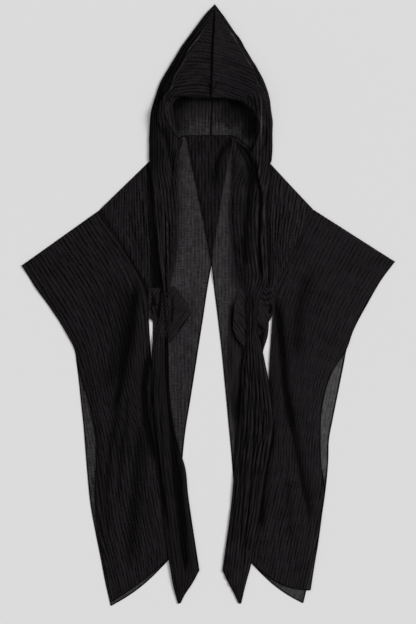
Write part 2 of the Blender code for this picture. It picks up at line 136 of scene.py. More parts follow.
# ---------------------------------------------------------------- the two back halves
# Panels of cotton double gauze, crinkled lengthwise. They lap over each other below the neck
# and part towards the hem. Lying in one layer on the surface, the open weave lets it through.
CLOTH_BLACK = "#2A2629"
# painted shade: the black of creases, folds and parts out of the light
PAINTED_SHADE_BLACK = "#020202"
HEM_BLACK = "#0C0A0B"  # a rolled hem is dense and lies in its own shade
PAINTED_HIGHLIGHT_BLACK = "#474246"  # a painted highlight, where a fold stands up and catches the light
WALL = 1.0  # how thick the cloth is with its crinkle
HALF = WALL / 2
LAYER = WALL + 0.6  # from one layer up to the one that lies on it
FLOOR_GAP = 0.06  # no point of the cloth comes nearer to the board
RIDGE_PITCH, FINE_PITCH = 9.8, 6.4  # the crinkle's main spacing, and that of the ridges between
FINE_SHARE = 0.75  # how deep a crease between is, as a share of a main one
CREASE_WIDTH = 2.1  # half width of a crease
WANDER = ((1.9, 90, 260), (0.6, 26, 110))  # how far ridges stray, and over what lengths
CRINKLE = 2.3  # depth of the crinkle on a layer that lies on another
FLAT_CRINKLE = 0.7  # and on one that lies on the surface
CLOTH_COVER = 0.84  # share of the surface that the threads of one layer cover
COVER_SWING = 0.085  # how much more or less that is in places
CREASE_COVER = 0.09  # and how much more where the painted light is least, as in a crease
THREAD = 3.0  # slubs in the weave: real threads are 0.4 mm apart, too fine to show
WARP_SLUB, WEFT_SLUB = 28, 22  # how long a slub is, along the cloth and across it
PATCHES = 0.011  # broad patches of paler dye, so many to a millimetre
FADED = (0.48, 0.96)  # the dye's strength in the palest patches and in the darkest
PAINTED_LIGHT_STOPS = (0.04, 0.8, 1.0)  # the painted light for a crease's painted shade, a ridge's own black and a crest's painted highlight
HIGHLIGHT_MOST = 1.25  # the painted light of a crest's painted highlight at the most, against 1 on a ridge
MOST_ADDED, MOST_TAKEN = 0.5, 0.92  # the most painted highlight that a crest adds to a ridge, or painted shade that a fold takes
OVERLAP_LIFT = WALL + 0.65  # the right half lies on the left one this much higher
OVERLAP_LEVEL, OVERLAP_SLOPE = 34, 30  # up to here past the left one's edge, and down over this
CROSSING_LOW, CROSSING_HIGH = 40, 90  # the halves cross here, and above it they lie lapped
LAPPED_EDGE = 4  # where they lap, both layers together look closed from this far in
LAPPED_SHADE = 1.5  # and this much painted shade there, as a fold's depth
ONE_LAYER_SHOWN = 0.5  # how strong the crinkle's painted crease shade is on one layer, with the board behind it
BACK_CELLS, BACK_STEPS = 210, 10  # cells across a half, and down each row of its table
HEM_SIDES = 8  # points round a rolled hem
HEM_LIGHT, HEM_COVER = 0.7, 1.3  # rolled, it lies closed, and this little painted light gives it painted shade
DOUBLE_FOLD = 0.5  # a fold of the upper half goes no deeper than this, so it stays off the lower


def table(names, *rows):
    """The columns of a table by name, each as an array."""
    return dict(zip(names.split(), np.array(rows, float).T))


BACKS = {
    "left": table(
        "y centre outer",
        (491, 71, -71),
        (455, 64.5, -122),
        (418, 56, -171),
        (348, 43.5, -242.5),
        (278, 31.5, -314),
        (200, 20, -265.7),
        (122, 8, -217.3),
        (44, -5, -169),
        (-37, -17, -162),
        (-101, -27, -161.5),
        (-173, -38, -160),
        (-275, -54, -156),
        (-362, -68, -153),
        (-449, -77, -146),
        (-536, -82, -132),
        (-620, -85, -117),
        (-700, -87, -103),
    ),
    "right": table(
        "y centre outer",
        (491, -62, 69),
        (450, -54, 127),
        (410, -46, 181),
        (345, -32, 241),
        (279, -19, 303),
        (200, -4, 265),
        (122, 10, 227.5),
        (44, 19, 190),
        (-28, 28, 177),
        (-86, 35, 173),
        (-140, 41, 158),
        (-214, 48, 166),
        (-275, 54, 170),
        (-341, 60, 171),
        (-425, 68, 163),
        (-527, 75, 146),
        (-615, 78, 132),
        (-700, 80, 117),
    ),
}
BACK_CORNERS = (2, 4, 7)  # rows where the outer edge turns sharply
BACK_CROWDED = {"left": 0.09, "right": 0.30}  # how much closer the threads lie where it crumples
# each fold from here on is its half width, its depth, its line, and a lean where it has one
BACK_CRUMPLES = {
    "left": [
        (24, 1.0, [(-84, 500), (-94, 380), (-92, 260), (-100, 100)]),
        (60, 0.6, [(-60, 120), (-70, -60), (-80, -240), (-90, -500)]),
    ],
    "right": [
        (19, 1.0, [(92, 60), (80, -40), (72, -110), (78, -170), (88, -230), (96, -300), (100, -380)]),
        (10, 0.9, [(50, -130), (62, -190), (70, -270), (80, -340), (84, -430)]),
        (22, 1.0, [(86, 330), (84, 240), (84, 150), (84, 90), (92, 20)]),
        (22, 1.4, [(164, -20), (156, -60), (150, -100), (144, -150), (140, -180)]),
    ],
}
BACK_FOLDS = {
    "left": [
        (5, 0.7, [(-40, 330), (-36, 180), (-45, 20), (-60, -150)]),
        (4, 0.6, [(-75, -120), (-84, -260), (-98, -420)]),
    ],
    "right": [
        (8, 2.8, [(104, 530), (74, 490), (60, 470), (41, 445), (26, 410), (20, 364), (18, 310)]),
        (10, 2.2, [(92, 300), (86, 220), (82, 140), (80, 90), (90, 30)]),
        (17, 1.4, [(72, 30), (68, -60), (66, -130), (70, -200), (80, -300), (90, -420)]),
        (10, 4.4, [(71, 60), (69, 0), (70, -50), (80, -90), (98, -122), (104, -150), (96, -220),
            (89, -290), (85, -390)]),
        (14, 5.0, [(164, -40), (156, -70), (150, -100), (144, -150), (140, -180)]),
        (3, 1.6, [(58, 484), (44, 468), (30, 430), (10, 380)]),
        (7, 1.5, [(30, -130), (48, -200), (52, -280), (66, -360)]),
        (6, 1.3, [(60, -90), (66, -170), (54, -230), (72, -300)]),
        (5, -1.4, [(44, -150), (56, -220), (62, -320), (72, -390)]),
        (6, 1.3, [(78, -210), (70, -270), (80, -350)]),
    ],
}


def smooth_edge(xs, ys, steps, corners=()):
    """Points on one smooth curve through the table's rows, steps to a gap between two rows.

    Each gap is a cubic that leaves along the weighted mean of the slopes on both sides of its
    rows. At a row in corners, and at both ends, it leaves straight along the gap.
    """
    rows = np.stack([xs, ys], axis=1)
    length = np.linalg.norm(np.diff(rows, axis=0), axis=1)[:, None]
    slope = np.diff(rows, axis=0) / length
    leave, arrive = slope.copy(), slope.copy()
    mean = (length[:-1] * slope[1:] + length[1:] * slope[:-1]) / (length[:-1] + length[1:])
    soft = [row for row in range(1, len(rows) - 1) if row not in corners]
    leave[soft] = mean[[row - 1 for row in soft]]
    arrive[[row - 1 for row in soft]] = mean[[row - 1 for row in soft]]
    u = (np.arange(steps) / steps)[None, :, None]
    start, end = rows[:-1, None], rows[1:, None]
    reach = length[:, None]
    curve = (
        start * (2 * u**3 - 3 * u**2 + 1)
        + end * (3 * u**2 - 2 * u**3)
        + leave[:, None] * reach * (u**3 - 2 * u**2 + u)
        + arrive[:, None] * reach * (u**3 - u**2)
    )
    return np.concatenate([curve.reshape(-1, 2), rows[-1:]])


def heights(values, steps):
    """A table's column of heights at the same stations as smooth_edge's points."""
    rows = np.arange(len(values))
    return np.interp(np.linspace(0, rows[-1], rows[-1] * steps + 1), rows, values)


def ruled(start, end, count):
    """A grid of straight sections: [station, place across] between two edge curves."""
    across = np.linspace(0, 1, count + 1)[None, :, None]
    return start[:, None] * (1 - across) + end[:, None] * across


def lift(grid, z):
    """The grid of plan points with a height for each."""
    return np.concatenate([grid, np.broadcast_to(z, grid.shape[:2])[..., None]], axis=-1)


def ease(x):
    """0 below 0, 1 above 1, and a soft step between them."""
    x = np.clip(x, 0, 1)
    return x * x * (3 - 2 * x)


def walked(line):
    """How far along a line of points each of them lies."""
    return np.concatenate([[0], np.cumsum(np.linalg.norm(np.diff(line, axis=0), axis=1))])


def unit(vectors):
    """The vectors drawn out or in to a length of one."""
    return vectors / np.maximum(np.linalg.norm(vectors, axis=-1, keepdims=True), 1e-9)


def drift(u, v, seed):
    """A smooth uneven field, mostly from -1 to 1: six sine waves, each in its own direction
    and near one unit long, with turns, lengths and phases drawn from the seed."""
    draw = np.random.default_rng(seed).uniform(0, 1, (6, 3))
    waves = []
    for turn, rate, phase in draw:
        ahead = u * np.cos(6.3 * turn) + v * np.sin(6.3 * turn)
        waves.append(np.sin(2 * np.pi * (0.6 + 0.9 * rate) * ahead + 6.3 * phase))
    return sum(waves) / 3


def crinkle(across, along, seed):
    """The crinkle's height, from 0 in the deepest crease to 1 on a ridge.

    The inputs are the distances across and along the ridges. Both wander sideways together.
    Creases of two spacings cut in with a bell section, and each swells and dies out along its
    own length. The ridges between them are round, and higher in some places than in others.
    """
    bent = across
    for turn, (stray, wide, long) in enumerate(WANDER):
        bent = bent + stray * drift(across / wide, along / long, seed + turn)
    height = 1.0
    for pitch, share, turn in ((RIDGE_PITCH, 1.0, 2), (FINE_PITCH, FINE_SHARE, 5)):
        count = bent / pitch
        number = np.round(count)
        strength = np.clip(0.70 + 0.80 * drift(number * 0.61, along / 58, seed + turn), 0.06, 1)
        crease = np.exp(-(((count - number) * pitch / CREASE_WIDTH) ** 2))
        height = np.minimum(height, 1 - share * strength * crease)
    round_part = np.abs(np.sin(np.pi * bent / RIDGE_PITCH)) ** 0.8
    swell = 0.7 + 0.3 * drift(bent / 60, along / 130, seed + 8)
    return np.clip(0.55 * height + 0.45 * (1 - swell * (1 - round_part)), 0, 1)


def pressed(grid, folds):
    """How deep the folds press each point of a grid down, or how high if it is below zero.

    Each fold is (half width, depth, line), and may hold a lean as well. Its section is a bell,
    wider by the share lean on the left of the line's way and narrower on its right, and it
    fades at both ends.
    """
    total = np.zeros(grid.shape[:2])
    for half, depth, line, *lean in folds:
        line = np.array(line, float)
        runs, before = np.diff(line, axis=0), walked(line)
        sizes = np.linalg.norm(runs, axis=1)
        nearest, hand, reached = np.full(total.shape, np.inf), total * 0, total * 0
        for start, run, size, behind in zip(line, runs, sizes, before):
            share = np.clip(((grid - start) @ run) / size**2, 0, 1)
            gap = grid - start - share[..., None] * run
            away = np.linalg.norm(gap, axis=-1)
            closer = away < nearest
            hand = np.where(closer, np.sign(run[0] * gap[..., 1] - run[1] * gap[..., 0]), hand)
            reached = np.where(closer, behind + share * size, reached)
            nearest = np.where(closer, away, nearest)
        fade = 0.22 * before[-1]
        shown = ease(reached / fade) * ease((before[-1] - reached) / fade)
        total += depth * shown * np.exp(-((nearest / (half * (1 + sum(lean) * hand))) ** 2))
    return total


def painted_light_at(ridges, depth, share=0.2, crease_power=2.2):
    """How much painted light each point gets, from 0, the painted shade of a crease, to 1 on a
    ridge. Each millimetre of depth, down in a fold or in the shade, takes the share away as
    painted shade, and a crest adds a painted highlight. crease_power is the power that sets how
    fast the painted light goes from the top of a ridge to its foot."""
    taken = np.clip(share * depth, -MOST_ADDED, MOST_TAKEN)
    return np.clip(np.maximum(ridges, 0) ** crease_power * (1 - taken), 0, HIGHLIGHT_MOST)


def cotton_gauze(name, ridge_dye):
    """Dyed cotton double gauze: matt, nearly black, with painted shade in its creases, folds and
    shaded parts, and a painted highlight on its crests, all from the painted_light attribute.

    The slubs of the weave run along and across. Between them one layer is open enough to let
    the surface show through, except in the creases and the painted shade, where it is closed more.
    """
    gauze = bpy.data.materials.new(name)
    gauze.use_nodes = True
    tree = gauze.node_tree
    surface = tree.nodes["Principled BSDF"]
    place = add(tree, "Attribute", attribute_name="cloth_mm").outputs["Vector"]
    painted_light = add(tree, "Attribute", attribute_name="painted_light").outputs["Fac"]
    cloth_cover = add(tree, "Attribute", attribute_name="cover").outputs["Fac"]
    slubs = []
    for across, along in ((THREAD, WARP_SLUB), (WEFT_SLUB, THREAD)):
        stretched = add(tree, "Mapping", {"Scale": (1 / across, 1 / along, 1)}, {"Vector": place})
        source = {"Vector": stretched.outputs["Vector"]}
        slubs.append(add(tree, "TexNoise", {"Scale": 1.0, "Detail": 2.0}, source).outputs["Fac"])
    weave = add(tree, "Math", {}, {0: slubs[0], 1: slubs[1]}, operation="ADD").outputs[0]
    patches = add(tree, "TexNoise", {"Scale": PATCHES, "Detail": 3.0}, {"Vector": place})
    uneven = {0: weave, 1: patches.outputs["Fac"]}
    uneven = add(tree, "Math", {}, uneven, operation="ADD").outputs[0]
    strengths = {"From Min": 0.9, "From Max": 2.1, "To Min": FADED[0], "To Max": FADED[1]}
    faded = add(tree, "MapRange", strengths, {"Value": uneven}).outputs[0]
    # the painted light, times the dye's patches, picks painted shade, the cloth's black or a painted
    # highlight
    light_and_patches = add(tree, "Math", {}, {0: painted_light, 1: faded}, operation="MULTIPLY", use_clamp=True)
    tone = add(tree, "ValToRGB", links={"Fac": light_and_patches.outputs[0]})
    tone.color_ramp.elements.new(PAINTED_LIGHT_STOPS[1])
    stop_colours = (PAINTED_SHADE_BLACK, ridge_dye, PAINTED_HIGHLIGHT_BLACK)
    for stop, stop_light, dye in zip(tone.color_ramp.elements, PAINTED_LIGHT_STOPS, stop_colours):
        stop.position, stop.color = stop_light, (*linear(dye), 1)
    tree.links.new(tone.outputs["Color"], surface.inputs["Base Color"])
    least, most = CLOTH_COVER - COVER_SWING, CLOTH_COVER + COVER_SWING
    covers = {"From Min": 0.75, "From Max": 1.25, "To Min": least, "To Max": most}
    threads = add(tree, "MapRange", covers, {"Value": weave}).outputs[0]
    crowded = add(tree, "MapRange", {"To Min": CREASE_COVER, "To Max": 0.0}, {"Value": painted_light})
    spread = add(tree, "Math", {}, {0: threads, 1: cloth_cover}, operation="MULTIPLY")
    closed = {0: spread.outputs[0], 1: crowded.outputs[0]}
    closed = add(tree, "Math", {}, closed, operation="ADD", use_clamp=True)
    tree.links.new(closed.outputs[0], surface.inputs["Alpha"])
    relief = add(tree, "Bump", {"Strength": 0.3, "Distance": 0.0006}, {"Height": weave})
    tree.links.new(relief.outputs["Normal"], surface.inputs["Normal"])
    surface.inputs["Roughness"].default_value = 0.8
    surface.inputs["Specular IOR Level"].default_value = 0.04
    surface.inputs["Sheen Weight"].default_value = 0.02
    surface.inputs["Sheen Roughness"].default_value = 0.4
    surface.inputs["Sheen Tint"].default_value = (0.80, 0.77, 0.82, 1)
    return gauze


def facing_up(grid):
    """The unit normals of a grid of points, turned so that those of its last row face up."""
    normal = unit(np.cross(np.gradient(grid, axis=0), np.gradient(grid, axis=1)))
    return normal if normal[-1, :, 2].mean() > 0 else -normal


def new_piece(name, points, faces, material, marks):
    mesh = bpy.data.meshes.new(name)
    mesh.from_pydata((points * MM).tolist(), [], faces)
    for mark, values in marks.items():
        vector = values.ndim == 2
        held = mesh.attributes.new(mark, "FLOAT_VECTOR" if vector else "FLOAT", "POINT")
        held.data.foreach_set("vector" if vector else "value", values.astype(np.float32).ravel())
    mesh.shade_smooth()
    mesh.materials.append(material)
    piece = placed(name, mesh)
    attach(piece, "root")
    return piece


def cloth(name, grid, rise, material, place, painted_light, cover=1.0):
    """A cloth surface: the grid's points, moved out along its normals by rise.

    place holds the distances across and along the cloth, painted_light its painted light and
    shade, and cover how closed its weave is. The piece comes with its points.
    """
    normal = facing_up(grid)
    points = grid + normal * rise[..., None]
    points[..., 2] = np.maximum(points[..., 2], FLOOR_GAP)
    shape = grid.shape[:2]
    index = np.arange(shape[0] * shape[1]).reshape(shape)
    quads = [index[:-1, :-1], index[1:, :-1], index[1:, 1:], index[:-1, 1:]]
    quads = np.stack(quads, axis=-1).reshape(-1, 4)
    corner = points.reshape(-1, 3)[quads]
    turned = np.cross(corner[:, 2] - corner[:, 0], corner[:, 3] - corner[:, 1])
    if (turned * normal.reshape(-1, 3)[quads[:, 0]]).sum() < 0:
        quads = quads[:, ::-1]
    values = (np.broadcast_to(part, shape).ravel() for part in (*place, painted_light, cover))
    across, along, painted_light, cover = values
    marks = {"cloth_mm": np.stack([across, along, across * 0], axis=1), "painted_light": painted_light, "cover": cover}
    return new_piece(name, points.reshape(-1, 3), quads.tolist(), material, marks), points


def hem(name, path, material, width=3.6, depth=1.5):
    """A narrow rolled hem: an oval of eight points carried along an edge of the cloth."""
    path = np.array(path, float)
    path[:, 2] = np.maximum(path[:, 2], depth / 2 + FLOOR_GAP)
    ahead = unit(np.gradient(path, axis=0))
    side = unit(np.cross(ahead, (0, 0, 1.0)))
    up = np.cross(side, ahead)
    turn = np.linspace(0, 2 * np.pi, HEM_SIDES, endpoint=False)[None, :, None]
    ring = path[:, None] + side[:, None] * np.cos(turn) * width / 2
    ring = ring + up[:, None] * np.sin(turn) * depth / 2
    count = len(path)
    index = np.arange(count * HEM_SIDES).reshape(count, HEM_SIDES)
    beside = np.roll(index, -1, axis=1)
    quads = np.stack([index[:-1], beside[:-1], beside[1:], index[1:]], axis=-1).reshape(-1, 4)
    faces = quads.tolist() + [index[0, ::-1].tolist(), index[-1].tolist()]
    spot = np.zeros((count, HEM_SIDES, 3))
    spot[..., 0], spot[..., 1] = np.arange(HEM_SIDES) * width / 4, walked(path)[:, None]
    plain = np.ones(count * HEM_SIDES)
    marks = {"cloth_mm": spot.reshape(-1, 3), "painted_light": HEM_LIGHT * plain, "cover": HEM_COVER * plain}
    return new_piece(name, ring.reshape(-1, 3), faces, material, marks)


outer_gauze = cotton_gauze("black_cotton_double_gauze", CLOTH_BLACK)
rolled_gauze = cotton_gauze("black_cotton_rolled_hem", HEM_BLACK)
for seed, side in enumerate(SIDES):
    rows = BACKS[side]
    centre = smooth_edge(rows["centre"], rows["y"], BACK_STEPS)
    outer = smooth_edge(rows["outer"], rows["y"], BACK_STEPS, BACK_CORNERS)
    grid = ruled(centre, outer, BACK_CELLS)
    lapped, closed = 0, 0
    if side == "right":
        left = BACKS["left"]
        left_edge = np.interp(grid[..., 1], left["y"][::-1], left["centre"][::-1])
        past_edge = grid[..., 0] - left_edge
        above = ease((grid[..., 1] - CROSSING_LOW) / (CROSSING_HIGH - CROSSING_LOW))
        lapped = above * (1 - ease((past_edge - OVERLAP_LEVEL) / OVERLAP_SLOPE))
        closed = above * (1 - ease(past_edge / LAPPED_EDGE))
    folds = pressed(grid, BACK_FOLDS[side])
    shallow = np.where(lapped * folds > 0.1, np.minimum(folds, DOUBLE_FOLD), folds)
    place = (grid[..., 0], grid[..., 1])
    ridges = crinkle(*place, 10 + seed)
    shown = 1 - (1 - ridges) * (ONE_LAYER_SHOWN + (1 - ONE_LAYER_SHOWN) * closed)
    rise = (FLAT_CRINKLE + (CRINKLE - FLAT_CRINKLE) * lapped) * (ridges - 0.45) - shallow
    # painted crease shade, and painted shade in the folds and where the halves lap
    painted_light = painted_light_at(shown, folds + LAPPED_SHADE * closed, crease_power=1.8)
    cover = 1 + BACK_CROWDED[side] * ease(pressed(grid, BACK_CRUMPLES[side]))
    plain = lift(grid, HALF + OVERLAP_LIFT * lapped)
    back, points = cloth("back_panel_" + side, plain, rise, outer_gauze, place, painted_light, cover)
    edge = hem("back_hem_" + side, np.concatenate([points[:, 0], points[-1]]), rolled_gauze)
    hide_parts("back_" + side)

# ---------------------------------------------------------------- the two shoulder fronts
# The part of each front between the armhole seam and the lapel. It lies on the back, swells
# towards the shoulder and dips under the lapel. It ends at the top of the pocket bag.
ARMHOLE = {"left": ((-314, 278), (-169, 44)), "right": ((303, 279), (190, 44))}
FRONTS = {
    "left": table(
        "lapel_x lapel_y armhole",
        (-159, 426, 0.00),
        (-152, 330, 0.20),
        (-148, 260, 0.40),
        (-144, 190, 0.60),
        (-140, 115, 0.80),
        (-136, 51, 0.97),
    ),
    "right": table(
        "lapel_x lapel_y armhole",
        (170, 417, 0.00),
        (158, 330, 0.20),
        (154, 260, 0.40),
        (156, 190, 0.60),
        (158, 115, 0.80),
        (152, 51, 0.97),
    ),
}
FRONT_CELLS, FRONT_STEPS = 130, 20
FRONT_SWELL = 3.6
SWELL_SIDE, SWELL_TOP = 70, 0.25  # it is up this far from the armhole, and this share of the way down
LAPEL_SHADE = (14, 26)  # the dip along the lapel: where the cloth starts to rise, and how far on
FRONT_SHADE = {"left": 6.6, "right": 3.0}  # painted shadow under the lapel's edge, as a fold's depth
FRONT_CREASE_POWER = {"left": 2.2, "right": 1.5}  # the power of its painted crease shade: the right front faces the light
FRONT_SPREAD = {"left": (1, 0), "right": (0.8, 0.5)}  # how close its ridges lie, and how much more below
TOP_SHADE = 0.3  # the painted light left along the shoulder's edge: painted shade
SEAM_DIP = 1.3  # how far the stitches pull the cloth down at a seam
SEAM_REACH = 5.0  # and how far from it the dip reaches
SEAM_DARK = {"left": 2.0, "right": 0.8}  # painted shade in the seam's dip, as a fold's depth: the right one faces the light
FRONT_FOLDS = {
    "left": [
        (4, 1.8, [(-196, 330), (-186, 230), (-172, 130)]),
        (3, 2.0, [(-180, 380), (-180, 300), (-172, 200), (-160, 110)]),
        (5, 1.8, [(-236, 290), (-214, 200), (-182, 110)]),
        (3, 1.2, [(-252, 232), (-226, 190), (-202, 150)]),
    ],
    "right": [
        (5, 2.2, [(160, 294), (172, 262), (178, 181), (180, 91), (183, 56)]),
        (2.6, 2.0, [(190, 390), (194, 260), (190, 150), (186, 70)]),
        (2.6, 2.0, [(204, 380), (206, 260), (196, 150), (187, 64)]),
        (2.6, 1.6, [(218, 366), (217, 240), (202, 140), (188, 66)]),
        (2.6, 1.4, [(232, 350), (229, 240), (208, 140), (189, 70)]),
        (3, 1.6, [(250, 320), (240, 220), (214, 130), (190, 72)]),
    ],
}


def edge_line(rows, name, steps, corners=()):
    """The smooth curve through the columns name_x and name_y of a table."""
    return smooth_edge(rows[name + "_x"], rows[name + "_y"], steps, corners)


for seed, side in enumerate(SIDES):
    rows = FRONTS[side]
    lapel = edge_line(rows, "lapel", FRONT_STEPS)
    top, under = np.array(ARMHOLE[side])
    armhole = top + (under - top) * heights(rows["armhole"], FRONT_STEPS)[:, None]
    grid = ruled(lapel, armhole, FRONT_CELLS)
    down = np.linspace(0, 1, len(grid))[:, None]
    to_seam = np.linalg.norm(grid - armhole[:, None], axis=-1)
    to_lapel = np.linalg.norm(grid - lapel[:, None], axis=-1)
    start, on = LAPEL_SHADE
    open_part = ease((to_lapel - start) / on)
    swell = FRONT_SWELL * open_part * ease(to_seam / SWELL_SIDE) * ease(down / SWELL_TOP)
    folds = pressed(grid, FRONT_FOLDS[side]) * open_part
    dip = SEAM_DIP * np.exp(-to_seam / SEAM_REACH)
    at_top, more = FRONT_SPREAD[side]
    place = (to_lapel * (at_top + more * down), grid[..., 1])
    ridges = crinkle(*place, 20 + seed)
    depth = CRINKLE * (0.4 + 0.6 * open_part)
    rise = depth * (ridges - 0.3) - np.minimum(folds, swell + 1) - dip
    # painted shadow under the lapel's edge, and painted shade in the seam's dip
    shade = FRONT_SHADE[side] * (1 - open_part) + SEAM_DARK[side] * dip
    painted_light = painted_light_at(ridges, folds + shade, crease_power=FRONT_CREASE_POWER[side])
    painted_light[0] *= TOP_SHADE
    plain = lift(grid, HALF + LAYER + swell)
    front, points = cloth("shoulder_front_" + side, plain, rise, outer_gauze, place, painted_light)
    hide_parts("front_" + side)

# ---------------------------------------------------------------- the two winged sleeves
# Each sleeve is one wide piece folded along its top edge, with a narrow rolled hem round the
# cuff and the pointed bottom. The two layers lie a little apart at the edges, so that a strip
# of the lower one shows, made more open to paint the light that comes in under the edge, and
# soft valleys run down from the underarm.
SLEEVES = {
    "left": table(
        "body_x body_y low_x low_y top_x top_y",
        (-314, 278, -540, 117, -540, 117),
        (-277.7, 219.5, -500, 53, -500, 53),
        (-241.5, 161, -453, -12, -453, -12),
        (-205.3, 102.5, -407, -86, -407, -86),
        (-169, 44, -386, -130, -384, -133),
        (-172, -37, -380, -170, -377, -168),
        (-169, -101, -375, -208, -366, -215),
        (-163, -173, -368, -275, -347, -275),
        (-158, -275, -361, -341, -331, -340),
        (-155, -362, -355, -415, -323, -410),
        (-148, -449, -349, -489, -325, -489),
        (-137, -536, -341, -570, -327, -565),
        (-124, -623, -326, -655, -320, -645),
        (-115, -665, -311, -730, -307, -722),
        (-109, -698, -297, -803, -293, -792),
        (-104, -724, -282, -870, -279, -858),
    ),
    "right": table(
        "body_x body_y low_x low_y top_x top_y",
        (303, 279, 540, 128, 540, 128),
        (274.7, 220.2, 501, 76, 501, 76),
        (246.5, 161.5, 463, 11, 463, 11),
        (218.3, 102.7, 420, -70, 420, -70),
        (190, 44, 398, -133, 396, -133),
        (186, -25, 391, -170, 380, -157),
        (181, -98, 383, -210, 355, -200),
        (177, -159, 371, -270, 336, -258),
        (175, -214, 359, -330, 325, -330),
        (175, -275, 348, -390, 324, -385),
        (177, -341, 346, -450, 325, -449),
        (168, -425, 341, -511, 336, -539),
        (150, -527, 329, -600, 328, -605),
        (135, -620, 314, -690, 318, -681),
        (124, -690, 293, -780, 305, -760),
        (116, -736, 274, -862, 295, -825),
    ),
}
BODY_CORNERS = (4,)  # the underarm, where the armhole's seam ends
HEM_BOW = 6  # the bow of the bottom edge fades up the wing with this power
HEM_DROP = {"left": (15, 7), "right": (14, 24)}  # how far it hangs: the lower layer and the upper
SLEEVE_ROLL = 1.1  # radius of the fold at the top
SLEEVE_LOFT = 5.6  # how high the upper layer lies over the lower one
LOFT_BODY, LOFT_CUFF, LOFT_HEM, LOFT_FOLD = 0.20, 0.14, 0.08, 0.14  # it comes up in these shares
RELAX_BODY, RELAX_CUFF = 0.12, 0.06  # relaxed() holds back in these shares of the width
SLEEVE_FOLDS = {
    "left": [
        (14, 2.5, [(-190, 110), (-206, 62), (-220, -17), (-232, -97), (-248, -176), (-262, -260),
            (-270, -330)], 0.2),
        (26, 1.7, [(-232, 90), (-240, -60), (-271, -182), (-330, -262)]),
        (9, 5.6, [(-166, -110), (-178, -175), (-187, -240), (-183, -318), (-174, -366), (-160, -414),
            (-148, -480)]),
        (7, 2.6, [(-158, 20), (-164, -60), (-170, -150)]),
        (18, 2.4, [(-190, -300), (-200, -400), (-210, -501), (-218, -605), (-226, -700),
            (-232, -790)], 0.2),
        (10, 1.7, [(-268, -300), (-288, -430), (-296, -560), (-288, -700)]),
        (8, 1.6, [(-240, -330), (-256, -450), (-260, -600)]),
        (12, 1.5, [(-258, -220), (-272, -300), (-268, -380), (-258, -460)]),
        (6, 1.5, [(-230, -230), (-238, -310), (-236, -400), (-226, -470)]),
        (3, 1.2, [(-262, 196), (-238, 158), (-218, 116)]),
    ],
    "right": [
        (12, 3.9, [(190, 60), (198, 0), (205, -60), (212, -141), (219, -234), (231, -311),
            (247, -385)], 0.3),
        (12, 2.8, [(222, -250), (238, -340), (252, -400), (273, -520), (290, -590), (297, -660)], 0.3),
        (5, 2.5, [(178, -190), (180, -230), (183, -300)]),
        (9, 4.6, [(188, -290), (182, -394), (168, -457), (158, -527), (154, -600), (150, -680)]),
        (20, 1.8, [(300, 120), (268, 20), (256, -80), (262, -180)]),
        (9, 1.6, [(225, -480), (232, -580), (238, -700)]),
        (3, 1.5, [(276, 214), (263, 185), (250, 158)]),
    ],
}
STRIP_COVER = {"left": 0.99, "right": 0.86}  # how closed the lower layer's strip is: more open, to paint the light that comes in under the edge
STRIP_FROM, STRIP_TO = -130, -540  # between these heights
HEM_OPEN, HEM_OPEN_FROM = 0.07, -760  # how much more open it is at the bottom corners
OPEN_FADE = 60  # and over this much each of these comes and goes
SLEEVE_CELLS, SLEEVE_STEPS = 250, 8
SLANT, SLANT_FROM = 0.1, -280  # below here the crinkle slants towards the body's edge
SLANT_BLEND = 120  # above and below that, its spacing changes to the wing's own
SLEEVE_CRINKLE = 1.9  # the wings are pressed flatter than the rest
SLEEVE_SHADE = {"left": 1.4, "right": 1.1}  # painted shade for being out of the light, as a fold's depth
WING_SHADE = {"left": 0.4, "right": 0.5}  # and more painted shade on the upper part
SLEEVE_CREASE_POWER = {"left": (1.25, 1.5), "right": (0.65, 1.25)}  # the power of the painted crease shade there, and at the bottom
TOP_FOLD_LIGHT = 0.1  # the painted light left on the fold at the top: painted shade


def relaxed(grid, inside, rounds=90):
    """The grid with each inner row drawn to the mean of the rows beside it, again and again, so
    that no line keeps a kink. inside is 0 at the edges, which stay, and 1 between them."""
    for _ in range(rounds):
        mean = (grid[:-2] + grid[2:]) / 2
        grid[1:-1] += (mean - grid[1:-1]) * inside[..., None]
    return grid


def rolled(lower_end, upper_start, outward, steps=4):
    """The half circle of a fold, from the end of the lower layer to the start of the upper."""
    centre, radius = (lower_end + upper_start) / 2, (upper_start - lower_end)[..., 2:] / 2
    turn = np.linspace(-np.pi / 2, np.pi / 2, steps + 1)[1:-1, None, None]
    out = np.concatenate([outward, np.zeros_like(outward[:, :1])], axis=1)
    return centre + radius * (np.cos(turn) * out + np.sin(turn) * np.array([0, 0, 1.0]))


